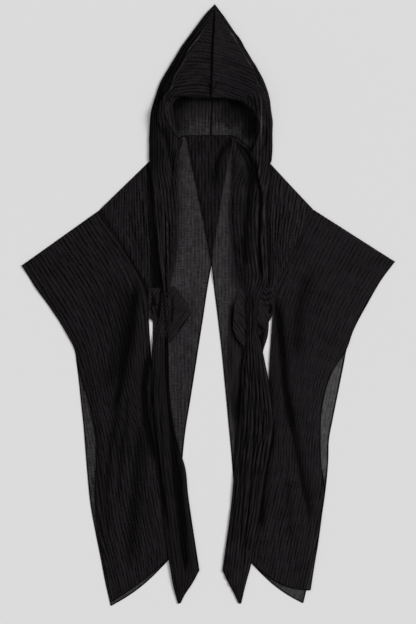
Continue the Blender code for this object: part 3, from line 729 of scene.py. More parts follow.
for seed, side in enumerate(SIDES):
    rows = SLEEVES[side]
    body = edge_line(rows, "body", SLEEVE_STEPS, BODY_CORNERS)
    across = np.linspace(0, 1, SLEEVE_CELLS + 1)[None, :]
    down = np.linspace(0, 1, len(body))[:, None]
    layers = []
    for edge, drop in zip(("low", "top"), HEM_DROP[side]):
        grid = ruled(body, edge_line(rows, edge, SLEEVE_STEPS), SLEEVE_CELLS)
        grid[..., 1] -= drop * down**HEM_BOW * np.sin(np.pi * across)
        layers.append(relaxed(grid, ease(across / RELAX_BODY) * ease((1 - across) / RELAX_CUFF)))
    lower, upper = layers
    outward = unit(lower[0] - lower[SLEEVE_STEPS])
    for grid in layers:
        grid[0] -= outward * (SLEEVE_ROLL + HALF)

    # the upper layer lies high in its middle and runs down to the seam, the cuff and both ends
    inside = ease(across / LOFT_BODY) * ease((1 - across) / LOFT_CUFF)
    inside = inside * ease((1 - down) / LOFT_HEM) * ease(down / LOFT_FOLD)
    folds = pressed(upper, SLEEVE_FOLDS[side])
    swell = 0.75 + 0.25 * drift(upper[..., 0] / 260, upper[..., 1] / 330, 70 + seed)
    top = HALF + LAYER + np.maximum(inside * (SLEEVE_LOFT * swell - folds), 0)
    top[0] = HALF + 2 * SLEEVE_ROLL
    under, over = lift(lower, HALF)[::-1], lift(upper, top)
    bend = rolled(under[-1], over[0], outward)
    full = np.concatenate([under, bend, over])
    turned = len(under) + len(bend)

    # the crinkle runs down the wing at one spacing, and follows the narrower part lower down
    wide = np.linalg.norm(full[:, -1] - full[:, 0], axis=1)[:, None]
    spacing = wide.mean()
    middle_y = full[:, SLEEVE_CELLS // 2, 1][:, None]
    low_down = ease((SLANT_FROM + SLANT_BLEND - middle_y) / (2 * SLANT_BLEND))
    from_cuff = (1 - across) * (spacing + (wide - spacing) * low_down)
    from_cuff = from_cuff - SLANT * np.maximum(SLANT_FROM - full[..., 1], 0)
    step = np.linalg.norm(np.diff(full, axis=0), axis=-1).mean(axis=1)
    along = np.concatenate([[0], np.cumsum(step)])[:, None] * np.ones(full.shape[:2])
    place = (from_cuff, along)
    ridges = crinkle(*place, 30 + seed)
    at_armhole = (np.arange(len(over)) <= BODY_CORNERS[0] * SLEEVE_STEPS)[:, None]
    dip = SEAM_DIP * at_armhole * np.exp(-across * spacing / SEAM_REACH)
    rise = FLAT_CRINKLE * (0.45 - ridges)  # the lower layer's outer side faces down
    rise[turned:] = SLEEVE_CRINKLE * (ridges[turned:] - 0.35) - dip
    painted_light = ridges.copy()
    high, low = SLEEVE_CREASE_POWER[side]
    crease_power = high + (low - high) * low_down[turned:]
    wing_shade = WING_SHADE[side] * (1 - low_down[turned:])
    # painted shade in the folds, in the seam's dip and where the wing is out of the light
    depth = folds + SEAM_DARK[side] * dip + SLEEVE_SHADE[side] + wing_shade
    painted_light[turned:] = painted_light_at(ridges[turned:], depth, 0.2, crease_power)
    painted_light[len(under) : turned] *= TOP_FOLD_LIGHT
    # painted light: the strip is made more open, for the light that comes in under the edge
    stretched = ease((STRIP_FROM - full[..., 1]) / OPEN_FADE)
    stretched = stretched * ease((full[..., 1] - STRIP_TO) / OPEN_FADE)
    opened = HEM_OPEN * ease((HEM_OPEN_FROM - full[..., 1]) / OPEN_FADE)
    cover = 1 - (1 - STRIP_COVER[side]) * stretched - opened
    cover[turned:] = 1
    sleeve, points = cloth("sleeve_wing_" + side, full, rise, outer_gauze, place, painted_light, cover)
    cuffs = [points[:, -1], points[0, ::-1], points[-1, ::-1]]
    name = f"sleeve_hem_{side}_"
    edges = [hem(name + str(count), path, rolled_gauze) for count, path in enumerate(cuffs)]
    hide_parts("sleeve_" + side)

# ---------------------------------------------------------------- the pocket bags
# A bag of the same gauze in each side seam. It lies on the back, under the lapel, and its
# crinkle runs along its slanted end.
POCKETS = {
    "left": table(
        "top_x top_y bottom_x bottom_y",
        (-173, 50, -171, -36),
        (-150, 50, -150, -56),
        (-122, 50, -128, -84),
        (-97, 48, -108, -109),
        (-71, 12, -84, -76),
        (-47, -25, -56, -34),
    ),
    "right": table(
        "top_x top_y bottom_x bottom_y",
        (191, 50, 188, -24),
        (166, 50, 165, -64),
        (140, 50, 142, -92),
        (112, 50, 107, -121),
        (94, 44, 84, -96),
        (77, 2, 72, -66),
    ),
}
POCKET_CORNERS = (3,)
POCKET_GRAIN = {"left": (0.63, 0.78), "right": (0.53, -0.85)}  # the way that the crinkle runs
POCKET_FOLDS = {
    "left": [
        (3, 3.0, [(-166, 44), (-160, 18), (-166, -8), (-158, -34)]),
        (3, 3.6, [(-139, 52), (-140, 20), (-144, -10), (-139, -52)]),
        (3, 2.6, [(-152, 34), (-158, 8), (-150, -20), (-146, -44)]),
        (2.4, 2.0, [(-166, 20), (-150, 2), (-140, -2)]),
        (4, 2.4, [(-106, 34), (-104, -10), (-108, -60)]),
        (2.4, 1.2, [(-96, -90), (-74, -54), (-56, -30)]),
        (2.4, 1.2, [(-104, -70), (-78, -34), (-62, -4)]),
    ],
    "right": [
        (3, 2.6, [(186, 40), (168, 30), (148, 36)]),
        (3, 2.4, [(186, 22), (166, 14), (146, 22)]),
        (2.4, 2.0, [(182, 4), (166, -2), (150, 6)]),
        (4, 5.0, [(176, 6), (181, -4), (180, -16), (174, -26)]),
        (4, 4.6, [(141, -43), (147, -60), (156, -70), (156, -104), (152, -124)]),
        (2.4, 1.5, [(78, -40), (100, -62), (112, -90)]),
        (2.4, 1.3, [(82, -16), (102, -38), (114, -64)]),
        (3.4, 2.4, [(112, 44), (108, 0), (112, -60), (104, -110)]),
    ],
}
POCKET_CELLS, POCKET_STEPS = 70, 16
POCKET_PITCH = 0.8  # its crinkle is finer than the rest by this share
POCKET_CRINKLE = 0.7  # and flatter by this one
POCKET_UNDER = 6  # its top runs on this far under the shoulder front
POCKET_LIFT, POCKET_OUT = 0.8, 0.2  # it comes up this far, in this share of its height
POCKET_SHADE = 0.6  # painted shade for being out of the light, as a fold's depth
POCKET_COVER = 1.2  # bunched cloth lies closed
for seed, side in enumerate(SIDES):
    rows = POCKETS[side]
    top_y = rows["top_y"] + POCKET_UNDER
    top = smooth_edge(rows["top_x"], top_y, POCKET_STEPS, POCKET_CORNERS)
    bottom = edge_line(rows, "bottom", POCKET_STEPS, POCKET_CORNERS)
    grid = ruled(top, bottom, POCKET_CELLS)
    grain = POCKET_GRAIN[side]
    run = grid @ np.array(grain)
    slant = grid @ np.array([grain[1], -grain[0]])
    ridges = crinkle(slant / POCKET_PITCH, run, 40 + seed)
    folds = pressed(grid, POCKET_FOLDS[side])
    out = ease(np.linspace(0, 1, POCKET_CELLS + 1)[None, :] / POCKET_OUT)
    rise = CRINKLE * POCKET_CRINKLE * out * (ridges - 0.2) - np.minimum(folds, POCKET_LIFT)
    painted_light = painted_light_at(ridges, folds + POCKET_SHADE, 0.3, 1.1)
    plain = lift(grid, HALF + WALL + POCKET_LIFT * out)
    place = (slant, run)
    pocket, points = cloth("pocket_bag_" + side, plain, rise, outer_gauze, place, painted_light, POCKET_COVER)
    seen = POCKET_CORNERS[0] * POCKET_STEPS
    rim = np.concatenate([points[seen:, 0], points[-1, 1:], points[-2::-1, -1]])
    edge = hem("pocket_edge_" + side, rim, outer_gauze, width=1.8, depth=1.2)
    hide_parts("pocket_" + side)

# ---------------------------------------------------------------- the hood
# Two halves joined by one seam from the back of the neck over the point to the face opening.
# The back lies on the surface, each side is folded, and the front stands up a little, with a
# soft crease beside the opening. The opening's edge is turned in, most of all on the left.
HOODS = {
    "left": table(
        "fold_x fold_y crease_x crease_y edge_x edge_y back_x back_y crease_z edge_z",
        (17.4, 872, 18.2, 872.2, 18.9, 872.4, 18.9, 872.4, 2.6, 2.8),
        (-5, 847, 5, 838, 15.2, 832, 18.0, 832, 4.6, 5.0),
        (-29.5, 816, -9, 806, 13.6, 795, 17.0, 795, 6.6, 7.0),
        (-56, 781, -32, 772, 11.0, 755, 16.0, 755, 8.8, 9.0),
        (-84, 741, -56, 733, 9.2, 715, 15.0, 715, 11, 11),
        (-112.5, 694, -77, 694, 8.2, 675, 14.0, 675, 13, 12),
        (-136.5, 650, -95.5, 652, 6.4, 636, 13.0, 636, 15, 13),
        (-150.5, 615, -103, 636, 5.6, 601, 12.0, 601, 17, 14),
        (-159, 590, -115, 620, -52, 603.5, 11.0, 565, 18, 17),
        (-165, 568, -131, 603, -104, 603, 10.0, 530, 19, 19),
        (-169, 550, -146, 578, -126, 585, 8.8, 491.6, 19, 20),
        (-171, 522, -149, 546, -129, 561, -45, 491.8, 16, 19),
        (-172, 492.3, -144, 515, -117, 529, -73.0, 492.3, 12.5, 15),
        (-172.5, 454, -137, 479, -97, 495, -73.22, 491.56, 10, 11),
        (-172.5, 420.0, -128, 446, -76, 474.8, -73.21, 490.97, 9, 8),
    ),
    "right": table(
        "fold_x fold_y crease_x crease_y edge_x edge_y back_x back_y crease_z edge_z",
        (20.6, 872, 19.8, 872.2, 19.1, 872.4, 19.1, 872.4, 2.6, 2.8),
        (44, 840, 37, 836, 15.6, 832, 18.4, 832, 4.6, 5.0),
        (67.5, 806, 56.5, 804, 14.0, 795, 17.4, 795, 6.6, 7.0),
        (91.5, 772, 80, 769, 11.4, 755, 16.4, 755, 8.8, 9.0),
        (116.5, 730, 105, 728, 9.6, 715, 15.4, 715, 11, 11),
        (139, 693, 126, 693, 8.6, 675, 14.4, 675, 13, 12),
        (158, 657, 142, 660, 6.8, 636, 13.4, 636, 15, 13),
        (170, 626, 149.5, 634, 6.0, 601, 12.4, 601, 17, 14),
        (178, 597, 156, 610, 62, 598, 11.4, 565, 19, 17),
        (182, 572, 160, 586, 101, 588, 10.4, 530, 20, 18),
        (185, 550, 160, 560, 133, 562, 9.2, 491.6, 20, 19),
        (187, 521, 165, 527, 147, 526, 45, 491.8, 19, 20),
        (187, 492.3, 164, 495, 144, 492, 71.0, 492.3, 14.5, 16),
        (185.5, 452, 160, 460, 134, 464, 71.22, 491.56, 11, 12.5),
        (182.5, 413, 154, 429.0, 127, 444.0, 71.21, 490.97, 9, 10),
    ),
}
EDGE_CORNERS = (7, 10)  # the centre seam's end on the face opening, and the opening's far corner
BACK_SEAM_CORNERS = (10, 12)  # the back of the neck, and the end of the neck seam
HOOD_STEPS = 14
UNDER_CELLS, TURN_CELLS, SIDE_CELLS, FACE_CELLS, INNER_CELLS = 90, 12, 40, 96, 14
HOOD_ROLL = 2.2  # radius of the fold down its side
ROLL_SHARE, LEAST_ROLL = 0.2, 0.7  # and near the point, a share of the width
HOOD_SEAM_SHIFT = {"left": 0.03, "right": -0.03}  # both halves meet on the seam
CENTRE_DIP, CENTRE_REACH = 2.8, 3.2  # the centre seam pulls the front face down
DIP_ROWS = 1.5  # over so many rows of the table from the point
TURN_IN = {"left": (33, 11), "right": (7, 6)}  # how far the opening's edge turns in and down
TURN_COMES, TURN_GOES, TURN_LAST = 1.3, 2.6, 13.6  # over so many rows, and the last of them
TURN_DROP = 0.8  # all of the edge drops by this too
HOOD_CRINKLE = 2.3
ARC_CENTRE, ARC_TOP = -45, 15  # where the front face's crinkle arches highest, and how softly
ARC_SLOPE, ARC_BEND = 0.12, 0.0012  # how fast it falls away beside that
POINT_FADE, FOOT_FADE = 40, 9  # and it dies out this near the point and the hood's foot
UNDER_FOLDS = [
    (7, -3.2, [(20, 548), (52, 530), (84, 500), (122, 462)]),
    (6, 0.7, [(30, 528), (60, 508), (88, 482)]),
    (5, -2.2, [(78, 500), (100, 478), (132, 452)]),
    (4, -2.4, [(44, 514), (76, 496), (110, 466)]),
    (4, -1.6, [(-100, 487), (-82, 490), (-62, 497)]),
    (4, -1.4, [(-106, 500), (-86, 502), (-60, 509)]),
    (6, -1.2, [(-70, 500), (-30, 503), (6, 500)]),
]
HOOD_FOLDS = {
    "left": [
        (8, 3.0, [(-134, 530), (-128, 500), (-120, 470), (-112, 438), (-104, 400)], 0.2),
        (2.6, -0.6, [(-8, 806), (-26, 779), (-51, 748), (-65, 721), (-78, 692), (-97, 663),
            (-109, 620), (-112, 590)]),
        (2.2, 3.4, [(-18, 808), (-33, 782), (-57, 751), (-72, 724), (-86, 695), (-104, 666),
            (-118, 622), (-124, 596)]),
        (2.0, 3.0, [(-34, 800), (-62, 760), (-88, 712), (-112, 666), (-130, 626)]),
        (2.2, 2.6, [(-96, 706), (-122, 658), (-140, 616), (-152, 570)]),
        (6, 2.8, [(-128, 626), (-142, 590), (-148, 566), (-150, 540)]),
        (5, 2.6, [(-152, 560), (-150, 530), (-140, 508), (-134, 486)]),
        (4, 1.6, [(-10, 650), (6, 632), (12, 610)]),
    ],
    "right": [
        (1.8, 2.6, [(55, 818), (77, 786), (103, 747), (124, 708), (144, 668), (156, 634), (163, 600)]),
        (2.4, 2.4, [(166, 580), (168, 540), (168, 500), (164, 450)]),
        (5, 1.8, [(172, 560), (174, 520), (168, 480), (160, 440)]),
        (8, 1.8, [(100, 610), (128, 588), (146, 552)]),
        (7, 1.5, [(30, 720), (60, 700), (96, 690)]),
        (4, 1.6, [(28, 650), (16, 632), (12, 610)]),
    ],
}
# pressed edges with a painted highlight, where they catch the light: half width, strength and line
HOOD_CRESTS = {
    "left": [(2.6, 1.0, [(-2, 822), (-26, 779), (-51, 748), (-65, 721), (-78, 692), (-97, 663),
        (-109, 620), (-112, 590)])],
    "right": [
        (2.4, 1.0, [(30, 846), (49, 815), (70, 782), (95, 743), (115, 706), (137, 662), (147, 630),
            (153, 600)]),
        (4.5, 0.7, [(150, 620), (154, 560), (153, 516), (147, 470), (141, 440), (141, 400)]),
    ],
}
CREST_HIGHLIGHT = {"left": 4.0, "right": 7.0}  # how strong a crest's painted highlight is, as a height in millimetres
HOOD_LOSS = 1.9  # painted shade on its outer faces for being out of the light, as a fold's depth
HOOD_SIDE_SHADE = {"left": 2.0, "right": 0.5}  # painted shade on the side faces: the left side turns away from the light
SIDE_EDGE = 8  # columns either way from the crease over which that shade ends
FACE_CREASE_SHADE = {"left": 0.85, "right": 0.5}  # how strong the crinkle's painted crease shade is on the front face
LOW_FACE_CREASE_SHADE = 0.65  # and how much stronger low down beside the opening
DEEP_DARK, UNDER_LOSS, GROOVE_DARK = 4.6, 0.9, 4  # painted shadow and shade inside the hood, and painted shade in the seam's groove
UNDER_FAINT = 0.2  # the least painted light inside the hood, in a crease
FOLD_LIGHT = 0.25  # the painted light left on the outermost fold: painted shade
FACE_COLUMNS, FACE_ROWS = 12, 2  # the front face's own crinkle blends in and out over these
LOW_FROM, LOW_ROWS = 2.5, 4.5  # low on the face begins at this row, and is full so many on
LOW_SIDE, LOW_START = 110, 0.3  # and it grows over this distance sideways, from this share
INSIDE_COVER, INSIDE_MORE = 0.98, 0.14  # how closed it is inside, and more high up and in the dark
NECK_Y, NECK_BLEND = 500, 90
OUTSIDE_COVER, OUTSIDE_MORE = 1.08, 0.12  # and on its faces, and more towards the foot
FOOT_ROW, FOOT_ROWS = 8, 5
# painted shadow inside the hood, under its front edge and its sides
HOOD_SHADE = [
    (42, 0.74, [(50, 606), (92, 580), (114, 548), (130, 512), (138, 470)]),
    (30, 0.3, [(84, 500), (104, 494), (124, 474), (146, 436)]),
    (26, 0.75, [(-170, 600), (-90, 594), (-50, 606), (40, 612), (130, 600)]),
    (26, 0.6, [(-86, 630), (-92, 590), (-90, 540), (-84, 480)]),
    (24, 0.3, [(40, 584), (58, 548), (84, 516)]),
]


def side_shade(columns, side):
    """The painted shade on the hood's side face, as a fold's depth, by the columns from its fold."""
    return ease((SIDE_CELLS + SIDE_EDGE - columns) / (2 * SIDE_EDGE)) * HOOD_SIDE_SHADE[side]


def crest_height(grid, lines, side):
    """How strong the painted highlight on the crests along the lines is, as a height in millimetres."""
    return CREST_HIGHLIGHT[side] * np.minimum(pressed(grid, lines), 1)


hood_foot = {}
for seed, side in enumerate(SIDES):
    rows = HOODS[side]
    shift = (HOOD_SEAM_SHIFT[side], 0)
    fold, crease = (edge_line(rows, name, HOOD_STEPS) for name in ("fold", "crease"))
    edge = edge_line(rows, "edge", HOOD_STEPS, EDGE_CORNERS) + shift
    back = edge_line(rows, "back", HOOD_STEPS, BACK_SEAM_CORNERS) + shift
    station = np.arange(len(edge))[:, None] / HOOD_STEPS

    # the back on the surface, then the fold, the side face and the front face over it
    width = np.linalg.norm(fold - back, axis=1, keepdims=True)
    outward = (fold - back) / width
    roll = np.clip(ROLL_SHARE * width, LEAST_ROLL, HOOD_ROLL)
    turn = fold - outward * (roll + HALF)
    under = lift(ruled(back, turn, UNDER_CELLS), HALF)
    side_face = ruled(turn, crease, SIDE_CELLS)[:, :-1]
    front_face = ruled(crease, edge, FACE_CELLS)
    up_side = np.linspace(0, 1, SIDE_CELLS + 1)[None, :-1]
    start, top = HALF + 2 * roll, heights(rows["crease_z"], HOOD_STEPS)[:, None]
    side_z = start + (top - start) * (1 - (1 - up_side) ** 2)
    edge_z = heights(rows["edge_z"], HOOD_STEPS)[:, None]
    front_z = top + (edge_z - top) * np.linspace(0, 1, FACE_CELLS + 1)[None, :]
    to_centre = np.linalg.norm(front_face - edge[:, None], axis=-1)
    seamed = (station <= EDGE_CORNERS[0]) * ease(station / DIP_ROWS)
    groove = CENTRE_DIP * seamed * np.exp(-((to_centre / CENTRE_REACH) ** 2))

    # the edge of the opening, turned in and down
    inward = (edge - crease) / np.maximum(np.linalg.norm(edge - crease, axis=1, keepdims=True), 1)
    at_opening = ease((station - EDGE_CORNERS[0]) / TURN_COMES) * ease((TURN_LAST - station) / TURN_GOES)
    reach, sink = TURN_IN[side]
    share = np.linspace(0, 1, INNER_CELLS + 1)[None, 1:]
    turned_in = edge[:, None] + (inward * reach)[:, None] * (share * at_opening)[..., None]
    turned_z = edge_z - groove[:, -1:] - sink * at_opening * ease(share * 1.1) - TURN_DROP * share
    faces = [lift(side_face, side_z), lift(front_face, front_z - groove), lift(turned_in, turned_z)]
    upper = np.concatenate(faces, axis=1)
    hood_foot[side] = (upper[-1, : SIDE_CELLS + FACE_CELLS + 1].copy(), fold[-1])
    under, upper = under.transpose(1, 0, 2), upper.transpose(1, 0, 2)
    full = np.concatenate([under, rolled(under[-1], upper[0], outward, TURN_CELLS), upper])
    plan = full[..., :2]

    # from here on the grid is [line from the back to the opening, station down the hood]
    line = np.arange(len(full))[:, None]
    first_side = len(under) + TURN_CELLS - 1
    first_face = first_side + SIDE_CELLS
    is_under = line <= len(under)
    down = station.T
    to_foot = (walked(fold)[-1] - walked(fold))[None, :] + np.zeros(full.shape[:2])
    from_fold = np.linalg.norm(plan - fold[None], axis=-1)
    beside = np.hypot(full[..., 0] - ARC_CENTRE, ARC_TOP) - ARC_TOP
    arc_place = (full[..., 1] + ARC_SLOPE * beside + ARC_BEND * beside**2, full[..., 0])
    on_face = ease((line - first_face) / FACE_COLUMNS)
    on_face = on_face * np.clip(1 - (down - EDGE_CORNERS[0]) / FACE_ROWS, 0, 1)
    sides = crinkle(from_fold, to_foot, 50 + seed)
    arcs = crinkle(*arc_place, 62 + seed)
    upright = crinkle(full[..., 0], full[..., 1], 64)
    ridges = np.where(is_under, upright, sides * (1 - on_face) + arcs * on_face)
    folds = pressed(plan, HOOD_FOLDS[side])
    plain = ease((to_foot[0, 0] - to_foot) / POINT_FADE) * ease(to_foot / FOOT_FADE)
    under_rise = FLAT_CRINKLE * (0.45 - ridges) + pressed(plan, UNDER_FOLDS)
    rise = np.where(is_under, under_rise, HOOD_CRINKLE * (ridges - 0.35) - folds) * plain

    # its painted light and shade, inside the hood and on its outer faces
    grooved = np.zeros(full.shape[:2])
    grooved[first_face : first_face + FACE_CELLS + 1] = groove.T
    grooved[first_face + FACE_CELLS + 1 :] = groove[:, -1]
    deep = np.clip(pressed(plan, HOOD_SHADE), 0, 1)
    far_out = beside if side == "left" else full[..., 0]
    low_on_face = ease((down - LOW_FROM) / LOW_ROWS) * ease(far_out / LOW_SIDE + LOW_START)
    shown = 1 - (1 - FACE_CREASE_SHADE[side] * (1.0 + LOW_FACE_CREASE_SHADE * low_on_face)) * on_face
    inside_light = UNDER_FAINT + (1 - UNDER_FAINT) * ridges
    faint = np.where(is_under, inside_light, 1 - (1 - ridges) * shown)
    crest = crest_height(plan, HOOD_CRESTS[side], side)
    outer_dark = folds + GROOVE_DARK * grooved + side_shade(line - first_side, side) - crest
    dark = np.where(is_under, DEEP_DARK * deep, outer_dark)
    dark = dark + np.where(is_under, UNDER_LOSS, HOOD_LOSS)
    painted_light = painted_light_at(faint, dark, 0.16, 1.7)
    painted_light[len(under) : first_side + 3] *= FOLD_LIGHT
    arched = on_face > 0.5
    place = (np.where(arched, arc_place[0], from_fold), np.where(arched, arc_place[1], -to_foot))
    high_up = ease((full[..., 1] - NECK_Y) / NECK_BLEND)
    inside_cover = INSIDE_COVER + INSIDE_MORE * high_up + INSIDE_MORE * deep
    outside_cover = OUTSIDE_COVER + OUTSIDE_MORE * ease((down - FOOT_ROW) / FOOT_ROWS)
    cover = np.where(is_under, inside_cover, outside_cover)
    hood, points = cloth("hood_half_" + side, full, rise, outer_gauze, place, painted_light, cover)
    rim = points[first_face + FACE_CELLS, EDGE_CORNERS[0] * HOOD_STEPS :]
    rim = hem("hood_hem_" + side, rim, rolled_gauze)
    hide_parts("hood_" + side)

# ---------------------------------------------------------------- the neck seam and back seam
# Two pressed seam allowances of the same gauze: one joins the hood's foot to the back and the
# fronts, and one joins the two halves of the hood behind the opening.
NECK_LINE = [
    (-140, 443), (-119, 457.8), (-96, 474.5), (-84, 482.8), (-73, 490.6),
    (0, 491.4), (70, 491.2), (98, 471.5), (128, 449), (150, 434),
]
BACK_SEAM_LINE = [(7.2, 491.4), (7.8, 510), (9.0, 530), (10.8, 565), (12.2, 601), (13.2, 636)]
SEAM_STEPS = 6
SEAM_DEPTH = 1.6
for name, line, width, z in (
    ("neck_seam", NECK_LINE, 4.5, 1.6),
    ("hood_back_seam", BACK_SEAM_LINE, 5.0, 1.2),
):
    xs, ys = np.array(line).T
    curve = smooth_edge(xs, ys, SEAM_STEPS, range(1, len(line) - 1))
    hem(name, lift(curve[:, None], z)[:, 0], rolled_gauze, width=width, depth=SEAM_DEPTH)

# ---------------------------------------------------------------- the lapels and their tails
# Long gathered front edges that run on from the hood, pinch together over the pocket bags and
# end in pointed tails. Deep lengthwise folds stand on them, and their edges are rolled.
LAPELS = {
    "left": table(
        "outer_x outer_y inner_x inner_y outer_z inner_z",
        (-172.5, 420, -71, 488, 5.0, 3.0),
        (-171, 365, -86, 425, 5.0, 3.4),
        (-168, 305, -88, 345, 4.8, 3.4),
        (-162, 240, -86, 262, 4.8, 3.2),
        (-157, 175, -90, 180, 4.8, 3.2),
        (-150, 125, -95, 125, 4.8, 3.4),
        (-141, 75, -106, 75, 5.0, 4.6),
        (-137, 40, -115, 40, 5.2, 5.0),
        (-137, 5, -117, 5, 5.2, 5.0),
        (-142, -35, -117, -35, 5.2, 5.0),
        (-151, -68, -117, -65, 5.2, 5.0),
        (-160, -105, -117, -105, 5.0, 4.8),
        (-163, -180, -116, -180, 5.0, 3.2),
        (-167, -265, -112, -265, 5.0, 2.6),
        (-166, -340, -102, -342, 5.0, 2.4),
        (-155, -410, -88, -408, 5.0, 2.4),
        (-147, -480, -68, -472, 5.0, 2.4),
        (-138, -550, -60, -548, 5.0, 2.4),
        (-127, -632, -48, -632, 5.0, 2.4),
        (-118, -710, -36, -710, 4.6, 2.4),
        (-108, -772, -27, -768, 3.6, 2.4),
        (-101, -812, -49, -808, 2.8, 2.4),
        (-94, -840, -69, -838, 2.4, 2.2),
        (-87, -864, -81, -862, 2.2, 2.2),
    ),
    "right": table(
        "outer_x outer_y inner_x inner_y outer_z inner_z",
        (182.5, 413, 68, 488, 5.0, 3.0),
        (175, 352, 67, 421, 5.0, 4.6),
        (168, 300, 66, 350, 4.8, 4.4),
        (167, 250, 63, 270, 4.8, 4.2),
        (171, 189, 71, 189, 4.8, 4.0),
        (175, 126, 83, 126, 4.8, 3.6),
        (176, 80, 91, 80, 4.8, 4.2),
        (160, 42, 106, 42, 5.2, 5.0),
        (144, 8, 119, 8, 5.2, 5.0),
        (141, -32, 120, -32, 5.2, 5.0),
        (143, -72, 119, -72, 5.2, 5.0),
        (154, -122, 108, -120, 5.0, 4.8),
        (166, -180, 98, -182, 5.0, 3.6),
        (180, -255, 96, -255, 5.0, 2.8),
        (187, -335, 89, -340, 5.0, 2.4),
        (177, -420, 77, -425, 5.0, 2.4),
        (162, -505, 74, -501, 5.0, 2.4),
        (147, -600, 65, -600, 5.0, 2.4),
        (131, -695, 52, -697, 4.6, 2.4),
        (121, -758, 42, -768, 3.6, 2.4),
        (110, -798, 57, -800, 2.8, 2.4),
        (101, -834, 74, -832, 2.4, 2.2),
        (94, -864, 88, -862, 2.2, 2.2),
    ),
}
LAPEL_CORNERS = {"left": (20,), "right": (19,)}
LAPEL_FOLDS = {
    "left": [
        (8, 2.4, [(-128, 500), (-120, 470), (-112, 438), (-104, 400), (-100, 370)], 0.2),
        (6, 6.0, [(-158, 150), (-152, 115), (-147, 80), (-142, 40)]),
        (6.5, 8.0, [(-172, 420), (-171, 360), (-168, 305), (-162, 240), (-155, 170), (-148, 112),
            (-140, 60), (-135, 10), (-134, -30)]),
        (2.6, 6.0, [(-122, 300), (-126, 240), (-126, 215), (-125, 160), (-125, 82), (-122, 30),
            (-118, -30)], 0.3),
        (3.5, -2.0, [(-150, 230), (-140, 169), (-131, 65), (-123, -2), (-116, -79)]),
        (4, 1.2, [(-146, 400), (-146, 330), (-144, 250), (-138, 180)]),
        (4, 2.2, [(-96, 478), (-98, 440), (-104, 400), (-108, 350), (-112, 290)]),
        (3, 2.0, [(-82, 484), (-88, 450), (-94, 400), (-98, 330)]),
        *[
            (3, 2.6 - 0.2 * row,
                [(-125, 262 - 25 * row), (-114, 220 - 25 * row), (-101, 182 - 25 * row)], 0.4)
            for row in range(8)
        ],
        (4.0, 6.0, [(-138, 44), (-131, -2), (-128, -48), (-124, -120), (-123, -172),
            (-118, -240)], 0.3),
        (8.0, 6.4, [(-124, -110), (-118, -230), (-112, -295), (-103, -414), (-97, -507),
            (-88, -579)], 0.3),
        (9, 5.4, [(-100, -440), (-93, -540), (-88, -579), (-79, -666), (-70, -740), (-66, -790)], 0.3),
        (5, 3.4, [(-160, -150), (-167, -240), (-160, -318), (-150, -400), (-142, -480), (-132, -560),
            (-120, -660)]),
        (3, 1.6, [(-140, -250), (-136, -400), (-124, -560), (-108, -700)]),
        (3, 1.4, [(-84, -420), (-74, -560), (-58, -700)]),
    ],
    "right": [
        (5.5, 7.5, [(134, 452), (136, 420), (140, 372), (150, 337), (152, 308), (150, 262),
            (147, 189), (151, 123), (153, 68), (153, 40)], -0.2),
        (3.2, 5.0, [(162, 300), (168, 262), (172, 181), (174, 91), (168, 50)]),
        (13, 4.0, [(116, 450), (122, 400), (120, 355), (108, 239), (103, 181), (104, 123),
            (98, 60)], 0.2),
        (5, -1.6, [(143, 330), (140, 240), (136, 160), (137, 80)]),
        (9, 2.6, [(96, 486), (112, 458), (121, 425), (126, 385), (126, 340)]),
        (4, 2.8, [(72, 480), (92, 462), (112, 440), (126, 410), (132, 370)]),
        (4, 2.6, [(78, 470), (94, 446), (108, 420), (116, 380)]),
        (3, 1.8, [(162, 250), (160, 190), (160, 130), (164, 84)]),
        (2.4, 3.6, [(112, -90), (106, -180), (98, -300), (92, -430), (86, -560)]),
        (2.0, 2.4, [(104, -300), (98, -430), (90, -560), (78, -700)]),
        (2.6, 3.4, [(122, -110), (118, -220), (112, -340), (106, -460), (98, -600), (86, -760)]),
        (1.8, 2.4, [(130, -90), (127, -190), (122, -300), (116, -400)]),
        (2.6, 3.8, [(136, -150), (136, -260), (132, -380), (122, -520), (110, -650), (98, -780)]),
        (2.2, 2.8, [(143, -110), (147, -220), (146, -330), (138, -450), (126, -580)]),
        (2.4, 3.2, [(156, -200), (161, -300), (156, -400), (144, -520), (130, -650)]),
        (2.2, 2.4, [(170, -250), (174, -330), (166, -420), (150, -540)]),
        (3.0, 2.2, [(80, -480), (74, -600), (62, -720)]),
        (4, 4.0, [(141, -43), (147, -60), (155, -72), (156, -104), (154, -130)], 0.2),
        (3, 2.4, [(124, 40), (128, 0), (127, -50), (122, -110)]),
    ],
}
# pressed edges with a painted highlight, as on the hood
LAPEL_CRESTS = {
    "left": [(2.6, 1.0, [(-122, 300), (-121, 240), (-119, 160), (-117, 80), (-112, 20)])],
    "right": [(5, 0.45, [(148, 500), (143, 445), (144, 410), (150, 370), (159, 320), (160, 270),
        (156, 200), (160, 120)])],
}
LAPEL_STEPS = 14
TO_NECK = 24  # columns from the hood's edge on to the corner of the neck
FOOT_BLEND = 70  # how far down the lapel keeps the section of the hood's foot
LAPEL_PUFF = 3.2
FULL_WIDTH, FULL_EDGE, POINT_SHARE = 45, 14, 0.06  # it lies flatter where narrow, at edges and point
LEAST_HEIGHT = 2.4  # no fold presses it lower than this
GATHERED_FROM = 130  # it is fully gathered this far below the hood
GATHER_SHARE, GATHER_WIDTH = 0.5, 40  # then its crinkle spans this share of the width, and this more
RIDGED_WIDTH = 55  # narrower than this its crinkle is flatter
LAPEL_COVER = 1.2  # gathered cloth lies nearly closed
THIN_EDGE = 34  # the width of the inner edge where it is ungathered and thin
THIN_COVER = 0.45  # how much more open it is
THIN_START, THIN_END, THIN_BLEND = 60, 420, 90
LAPEL_LOSS = 1.4  # painted shade on the lapels past the hood's foot, for being out of the light
TAIL_FROM, TAIL_BLEND = 500, 200
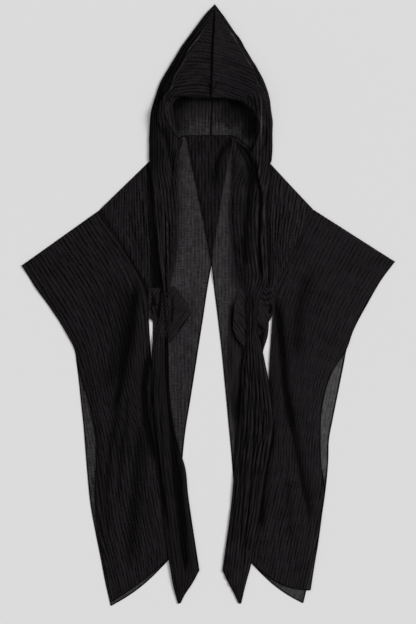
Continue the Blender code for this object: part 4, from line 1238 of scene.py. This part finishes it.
LAPEL_DARK = {"left": 2.2, "right": 0.4}  # painted shade: the left tail lies in the shade of its own folds
TAIL_CREASE_FADE = {"left": 0.5, "right": 0.0}  # how much the painted crease shade fades on the left tail
HEM_ROWS = (8, 2)  # from which rows of the table the inner and the outer edge are rolled
for seed, side in enumerate(SIDES):
    rows = LAPELS[side]
    outer = edge_line(rows, "outer", LAPEL_STEPS)
    inner = edge_line(rows, "inner", LAPEL_STEPS, LAPEL_CORNERS[side])
    outer_z, inner_z = (heights(rows[name], LAPEL_STEPS)[:, None] for name in ("outer_z", "inner_z"))

    # its first row is the hood's foot, with a straight stretch on to the corner of the neck
    foot, fold_foot = hood_foot[side]
    corner = lift(inner[None, :1], rows["inner_z"][0])[0]
    onward = np.linspace(0, 1, TO_NECK + 1)[1:, None]
    foot = np.concatenate([foot, foot[-1] + (corner - foot[-1]) * onward])
    from_fold = np.linalg.norm(foot[:, :2] - fold_foot, axis=1)
    reached = walked(foot[:, :2])
    across = (reached / reached[-1])[None, :]
    grid = outer[:, None] * (1 - across[..., None]) + inner[:, None] * across[..., None]
    length = walked((outer + inner) / 2)[:, None]
    near_foot = 1 - ease(length / FOOT_BLEND)
    grid = grid + (foot[:, :2] - grid[0])[None] * near_foot[..., None]

    down = np.linspace(0, 1, len(grid))[:, None]
    width = np.linalg.norm(outer - inner, axis=1)[:, None]
    fullness = np.minimum(1, width / FULL_WIDTH) * ease((1 - down) / POINT_SHARE)
    from_edges = np.minimum(across, 1 - across) * width
    puff = LAPEL_PUFF * fullness * ease(from_edges / FULL_EDGE)
    z = outer_z * (1 - across) + inner_z * across + puff
    z = z + (foot[None, :, 2] - z) * near_foot
    folds = pressed(grid, LAPEL_FOLDS[side])
    plain = ease(length / FOOT_FADE)
    z = np.maximum(z - folds * plain, np.minimum(z, LEAST_HEIGHT))
    gathered = ease(length / GATHERED_FROM)
    spanned = GATHER_SHARE * width + GATHER_WIDTH
    sideways = from_fold[None, :] * (1 - gathered) + across * spanned * gathered
    ridges = crinkle(sideways, -length * np.ones(grid.shape[:2]), 50 + seed)
    ridged = HOOD_CRINKLE * plain * np.minimum(1, width / RIDGED_WIDTH)
    rise = ridged * (ridges - 0.35)

    thin = 1 - ease((1 - across) * width / THIN_EDGE)
    thin = thin * (1 - ease((length - THIN_END) / THIN_BLEND)) * ease(length / THIN_START)
    in_tail = ease((length - TAIL_FROM) / TAIL_BLEND)
    shown = 1 - TAIL_CREASE_FADE[side] * in_tail
    loss = HOOD_LOSS + (LAPEL_LOSS - HOOD_LOSS) * gathered
    below_side = side_shade(np.arange(grid.shape[1])[None, :], side) * (1 - gathered)
    crest = crest_height(grid, LAPEL_CRESTS[side], side)
    shade = loss + below_side - crest + LAPEL_DARK[side] * in_tail
    painted_light = painted_light_at(1 - (1 - ridges) * shown, folds + shade, 0.16, 1.7)
    cover = LAPEL_COVER - THIN_COVER * thin
    name, place = "lapel_fall_" + side, (sideways, -length)
    lapel, points = cloth(name, lift(grid, z), rise, outer_gauze, place, painted_light, cover)
    inner_from, outer_from = (row * LAPEL_STEPS for row in HEM_ROWS)
    rim = [points[inner_from:, -1], points[-1, -2::-1], points[-2:outer_from:-1, 0]]
    edge = hem("lapel_hem_" + side, np.concatenate(rim), rolled_gauze, width=2.6, depth=1.2)
    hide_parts("lapel_" + side)
